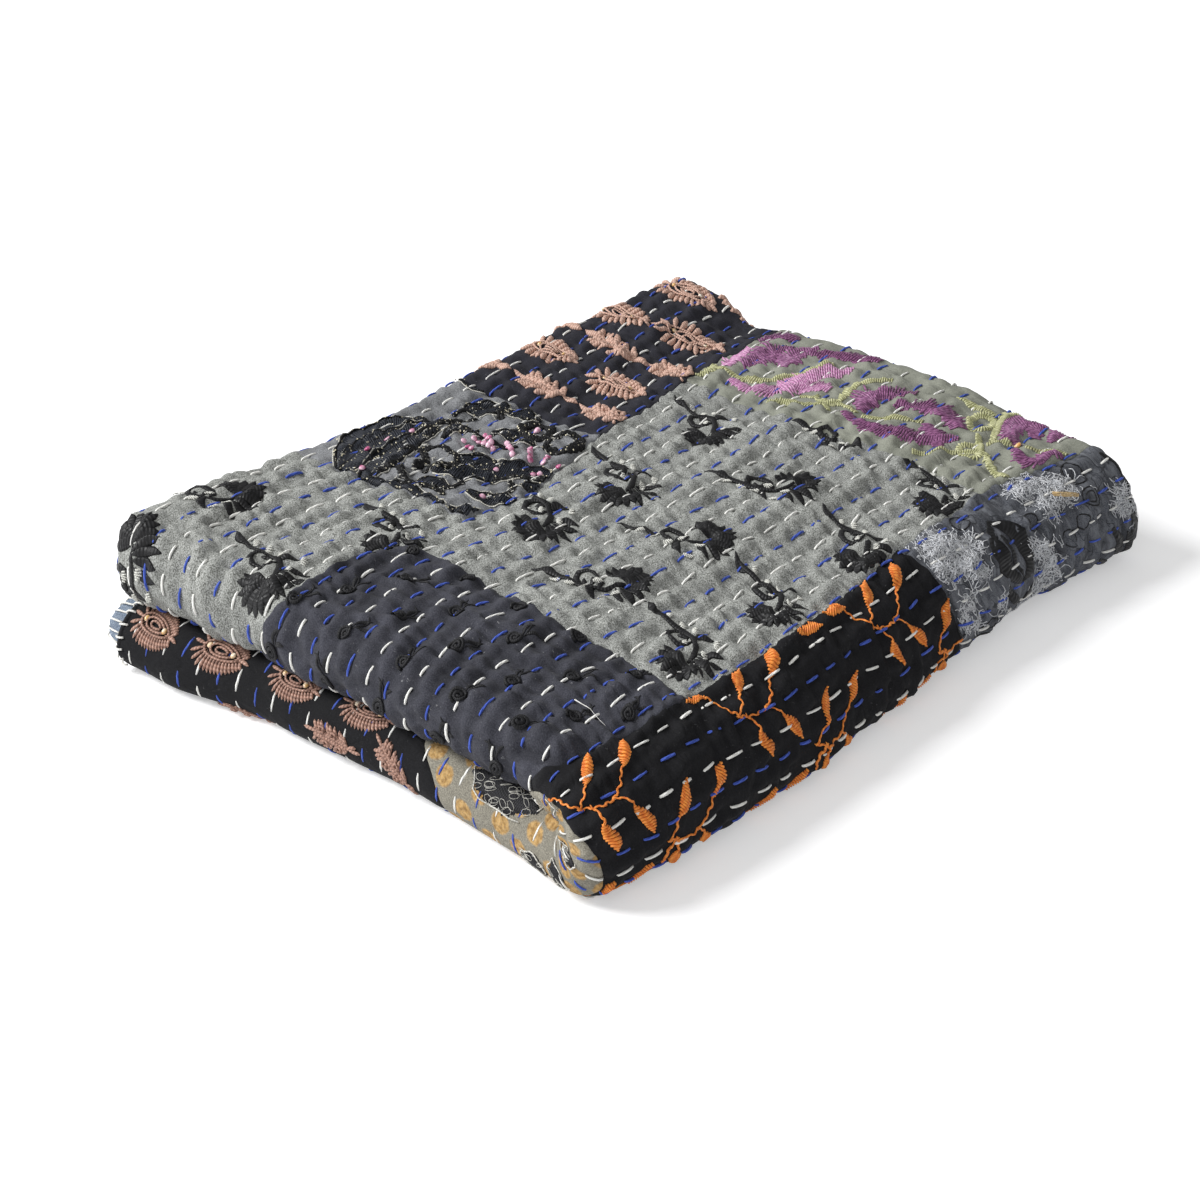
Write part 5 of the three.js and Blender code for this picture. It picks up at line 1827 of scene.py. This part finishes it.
class THROW_OT_hems(bpy.types.Operator):
    """The rolled hem at the left end, the faded denim hem behind it, their whip stitches, a loose thread"""

    bl_idname = "throw.hems"
    bl_label = "Hems and loose thread"

    def execute(self, context):
        c = context.scene.throw_colours
        white = thread_material("White hem thread", c.white_thread[:], (196, 192, 178), 7.0)
        rolled = Threads()
        along = np.linspace(-62, ROLL_ALONG - 4, 150)
        across = HEM_ACROSS + HEM_RADIUS + 0.5 * ripple(along, 0 * along, 40, 12)
        radius = HEM_RADIUS + 0.25 * ripple(along, 0 * along, 24, 13)
        rolled.add_free(skin_point(along, across, -HEM_DEPTH + 0 * along)[None], radius, 10)
        rolled.build("rolled_hem", cloth_material("Rolled hem", c.black[:], (60, 62, 68), 0.4, 0.1, 0.3),
                     "black_cotton")
        stitches = Threads()
        start = np.arange(-56.0, 424.0, 6.0)[:, None]
        start = start + np.random.default_rng(9).normal(0, 0.6, start.shape)
        stitches.add_free(whip_stitches(start, 2.6, HEM_SECTION), 0.62, 6)
        stitches.build("hem_whip_stitches", white, "white_thread")
        self.add_denim(white)
        loose = Threads()
        line = curve(LOOSE_THREAD, len(LOOSE_HEIGHT))
        loose.add(line[None], 0.24, 0.24, LOOSE_HEIGHT, 5)
        loose.build("loose_thread", white, "white_thread")
        return {"FINISHED"}

    def add_denim(self, white):
        """The inner hem: a soft lip that bulges past the outer one, with its own whip stitches."""
        u, v = np.meshgrid(np.linspace(0, 1, 40), np.linspace(0, 1, 16), indexing="ij")
        along = -52 + 60 * u
        reach = DENIM_LIP * smooth(np.minimum(u * 4, (1 - u) * 3)) + 0.5 * ripple(along, 0 * along, 20, 21)
        across = HEM_ACROSS + DENIM_COVER - (DENIM_COVER + reach) * np.sin(math.pi / 2 * v)
        height = -3.0 - 2.5 * (1 - np.cos(math.pi / 2 * v)) + 0.3 * ripple(along, across, 9, 22)
        outer = skin_point(along, across, height)
        inner = skin_point(along, across, height - DENIM_THICKNESS)
        uv = np.stack([along, across], -1) * MM
        piece = closed_sheet("denim_hem", outer, inner, uv)
        piece.data.materials.append(cloth_material("Faded denim", (92, 106, 126), (160, 172, 186),
                                                   0.9, 0.2, 0.2))
        settle(piece)
        stitches = Threads()
        start = np.arange(-36.0, -4.0, 5.5)[:, None]
        stitches.add_free(whip_stitches(start, 2.0, DENIM_SECTION), 0.55, 6)
        stitches.build("denim_whip_stitches", white, "white_thread")


# ---------------------------------------------------------------- the stage
FOCAL_LENGTH = 88.9
CAMERA_TILT = 31.4
CAMERA_HEADING = 43.4  # the packet's long side is this far right of the way that the camera looks
CAMERA_PLACE = (-819.6, -781.7, 854.8)  # before the packet was moved to its own middle
# Lights: metres to the right, forwards and up as the camera looks, and the size of the disk.
KEY_LIGHT = (-3.75, 0.35, 3.1, 2.2)
FILL_LIGHT = (-0.2, -1.6, 1.0, 1.4)
FLOOR_REACH = 6.0
FLOOR_LEVEL = -0.0004  # just under the part, in metres
FLOOR_GLOW = 0.37  # seen by the camera and in reflections alone, so that it lights nothing
WHITE = (1.0, 1.0, 1.0, 1.0)


class THROW_OT_stage(bpy.types.Operator):
    """A plain pale floor, soft studio lights and the camera"""

    bl_idname = "throw.stage"
    bl_label = "Stage"

    def execute(self, context):
        scene, stage = context.scene, context.scene.throw_stage
        heading, tilt = math.radians(CAMERA_HEADING), math.radians(CAMERA_TILT)
        forward = Vector((math.cos(heading), math.sin(heading), 0.0))
        right = Vector((math.sin(heading), -math.cos(heading), 0.0))
        camera = bpy.data.objects.new("camera", bpy.data.cameras.new("camera"))
        camera.data.lens = FOCAL_LENGTH
        camera.data.sensor_width = 36.0
        camera.location = (Vector(CAMERA_PLACE) + Vector(SHIFT)) * MM
        look = forward * math.cos(tilt) - Vector((0.0, 0.0, math.sin(tilt)))
        camera.rotation_euler = look.to_track_quat("-Z", "Y").to_euler()
        scene.collection.objects.link(camera)
        scene.camera = camera
        self.add_floor(stage)
        for name, (across, ahead, up, size), power in (("key_light", KEY_LIGHT, stage.key),
                                                       ("fill_light", FILL_LIGHT, stage.fill)):
            self.add_light(name, right * across + forward * ahead + Vector((0, 0, up)), size, power)
        self.add_world(scene, stage)
        scene.view_settings.view_transform = "Standard"
        return {"FINISHED"}

    def add_floor(self, stage):
        """A plain square with a faint glow that lights nothing."""
        corners = [(-1, -1), (1, -1), (1, 1), (-1, 1)]
        mesh = bpy.data.meshes.new("floor")
        mesh.from_pydata([(x * FLOOR_REACH, y * FLOOR_REACH, FLOOR_LEVEL) for x, y in corners], [],
                         [(0, 1, 2, 3)])
        floor = bpy.data.objects.new("floor", mesh)
        bpy.context.scene.collection.objects.link(floor)
        material = bpy.data.materials.new("Pale floor")
        material.use_nodes = True
        nodes = Nodes(material.node_tree)
        shader = material.node_tree.nodes["Principled BSDF"]
        shader.inputs["Base Color"].default_value = stage.floor
        shader.inputs["Roughness"].default_value = 0.9
        shader.inputs["Specular IOR Level"].default_value = 0.1
        seen = nodes.add("ShaderNodeLightPath").outputs
        share = nodes.math("MAXIMUM", seen["Is Camera Ray"], seen["Is Glossy Ray"])
        nodes.put(shader.inputs["Emission Strength"], nodes.times(share, FLOOR_GLOW))
        shader.inputs["Emission Color"].default_value = WHITE
        mesh.materials.append(material)

    def add_light(self, name, place, size, power):
        """A soft round lamp that points at the part."""
        data = bpy.data.lights.new(name, "AREA")
        data.shape = "DISK"
        data.size = size
        data.energy = power
        light = bpy.data.objects.new(name, data)
        light.location = place
        light.rotation_euler = (-place).to_track_quat("-Z", "Y").to_euler()
        bpy.context.scene.collection.objects.link(light)

    def add_world(self, scene, stage):
        """Even light all round, which the camera sees as plain white."""
        world = bpy.data.worlds.new("Studio")
        world.use_nodes = True
        nodes = Nodes(world.node_tree)
        seen = nodes.add("ShaderNodeLightPath").outputs
        plain = nodes.math("MAXIMUM", seen["Is Camera Ray"], seen["Is Transmission Ray"])
        strength = nodes.add("ShaderNodeMix", {0: plain, 2: stage.sky, 3: 1.0}, data_type="FLOAT").outputs[0]
        background = world.node_tree.nodes["Background"]
        background.inputs["Color"].default_value = WHITE
        nodes.put(background.inputs["Strength"], strength)
        scene.world = world


OPERATORS = (THROW_OT_backing, THROW_OT_patches, THROW_OT_quilting, THROW_OT_carnations, THROW_OT_rosettes,
             THROW_OT_sprigs, THROW_OT_shells, THROW_OT_beaded_flower, THROW_OT_vines, THROW_OT_ovals,
             THROW_OT_spangles, THROW_OT_hems, THROW_OT_stage)


class THROW_PT_panel(bpy.types.Panel):
    """Lists the settings and the steps that build the throw"""

    bl_label = "Folded Patchwork Throw"
    bl_idname = "THROW_PT_panel"
    bl_space_type = "VIEW_3D"
    bl_region_type = "UI"
    bl_category = "Throw"

    def draw(self, context):
        scene = context.scene
        for settings in (scene.throw_quilting, scene.throw_colours, scene.throw_stage):
            box = self.layout.box()
            for key in settings.bl_rna.properties.keys():
                if key not in ("rna_type", "name"):
                    box.prop(settings, key)
        for operator in OPERATORS:
            self.layout.operator(operator.bl_idname)


CLASSES = (THROW_PG_quilting, THROW_PG_colours, THROW_PG_stage, *OPERATORS, THROW_PT_panel)


def register():
    """Adds the settings, steps and panel."""
    for kind in CLASSES:
        bpy.utils.register_class(kind)
    bpy.types.Scene.throw_quilting = bpy.props.PointerProperty(type=THROW_PG_quilting)
    bpy.types.Scene.throw_colours = bpy.props.PointerProperty(type=THROW_PG_colours)
    bpy.types.Scene.throw_stage = bpy.props.PointerProperty(type=THROW_PG_stage)


def unregister():
    """Takes them away again."""
    for name in ("throw_quilting", "throw_colours", "throw_stage"):
        delattr(bpy.types.Scene, name)
    for kind in reversed(CLASSES):
        bpy.utils.unregister_class(kind)


def main():
    """Runs every step in order."""
    register()
    for operator in OPERATORS:
        group, name = operator.bl_idname.split(".")
        getattr(getattr(bpy.ops, group), name)()


if __name__ == "__main__":
    main()
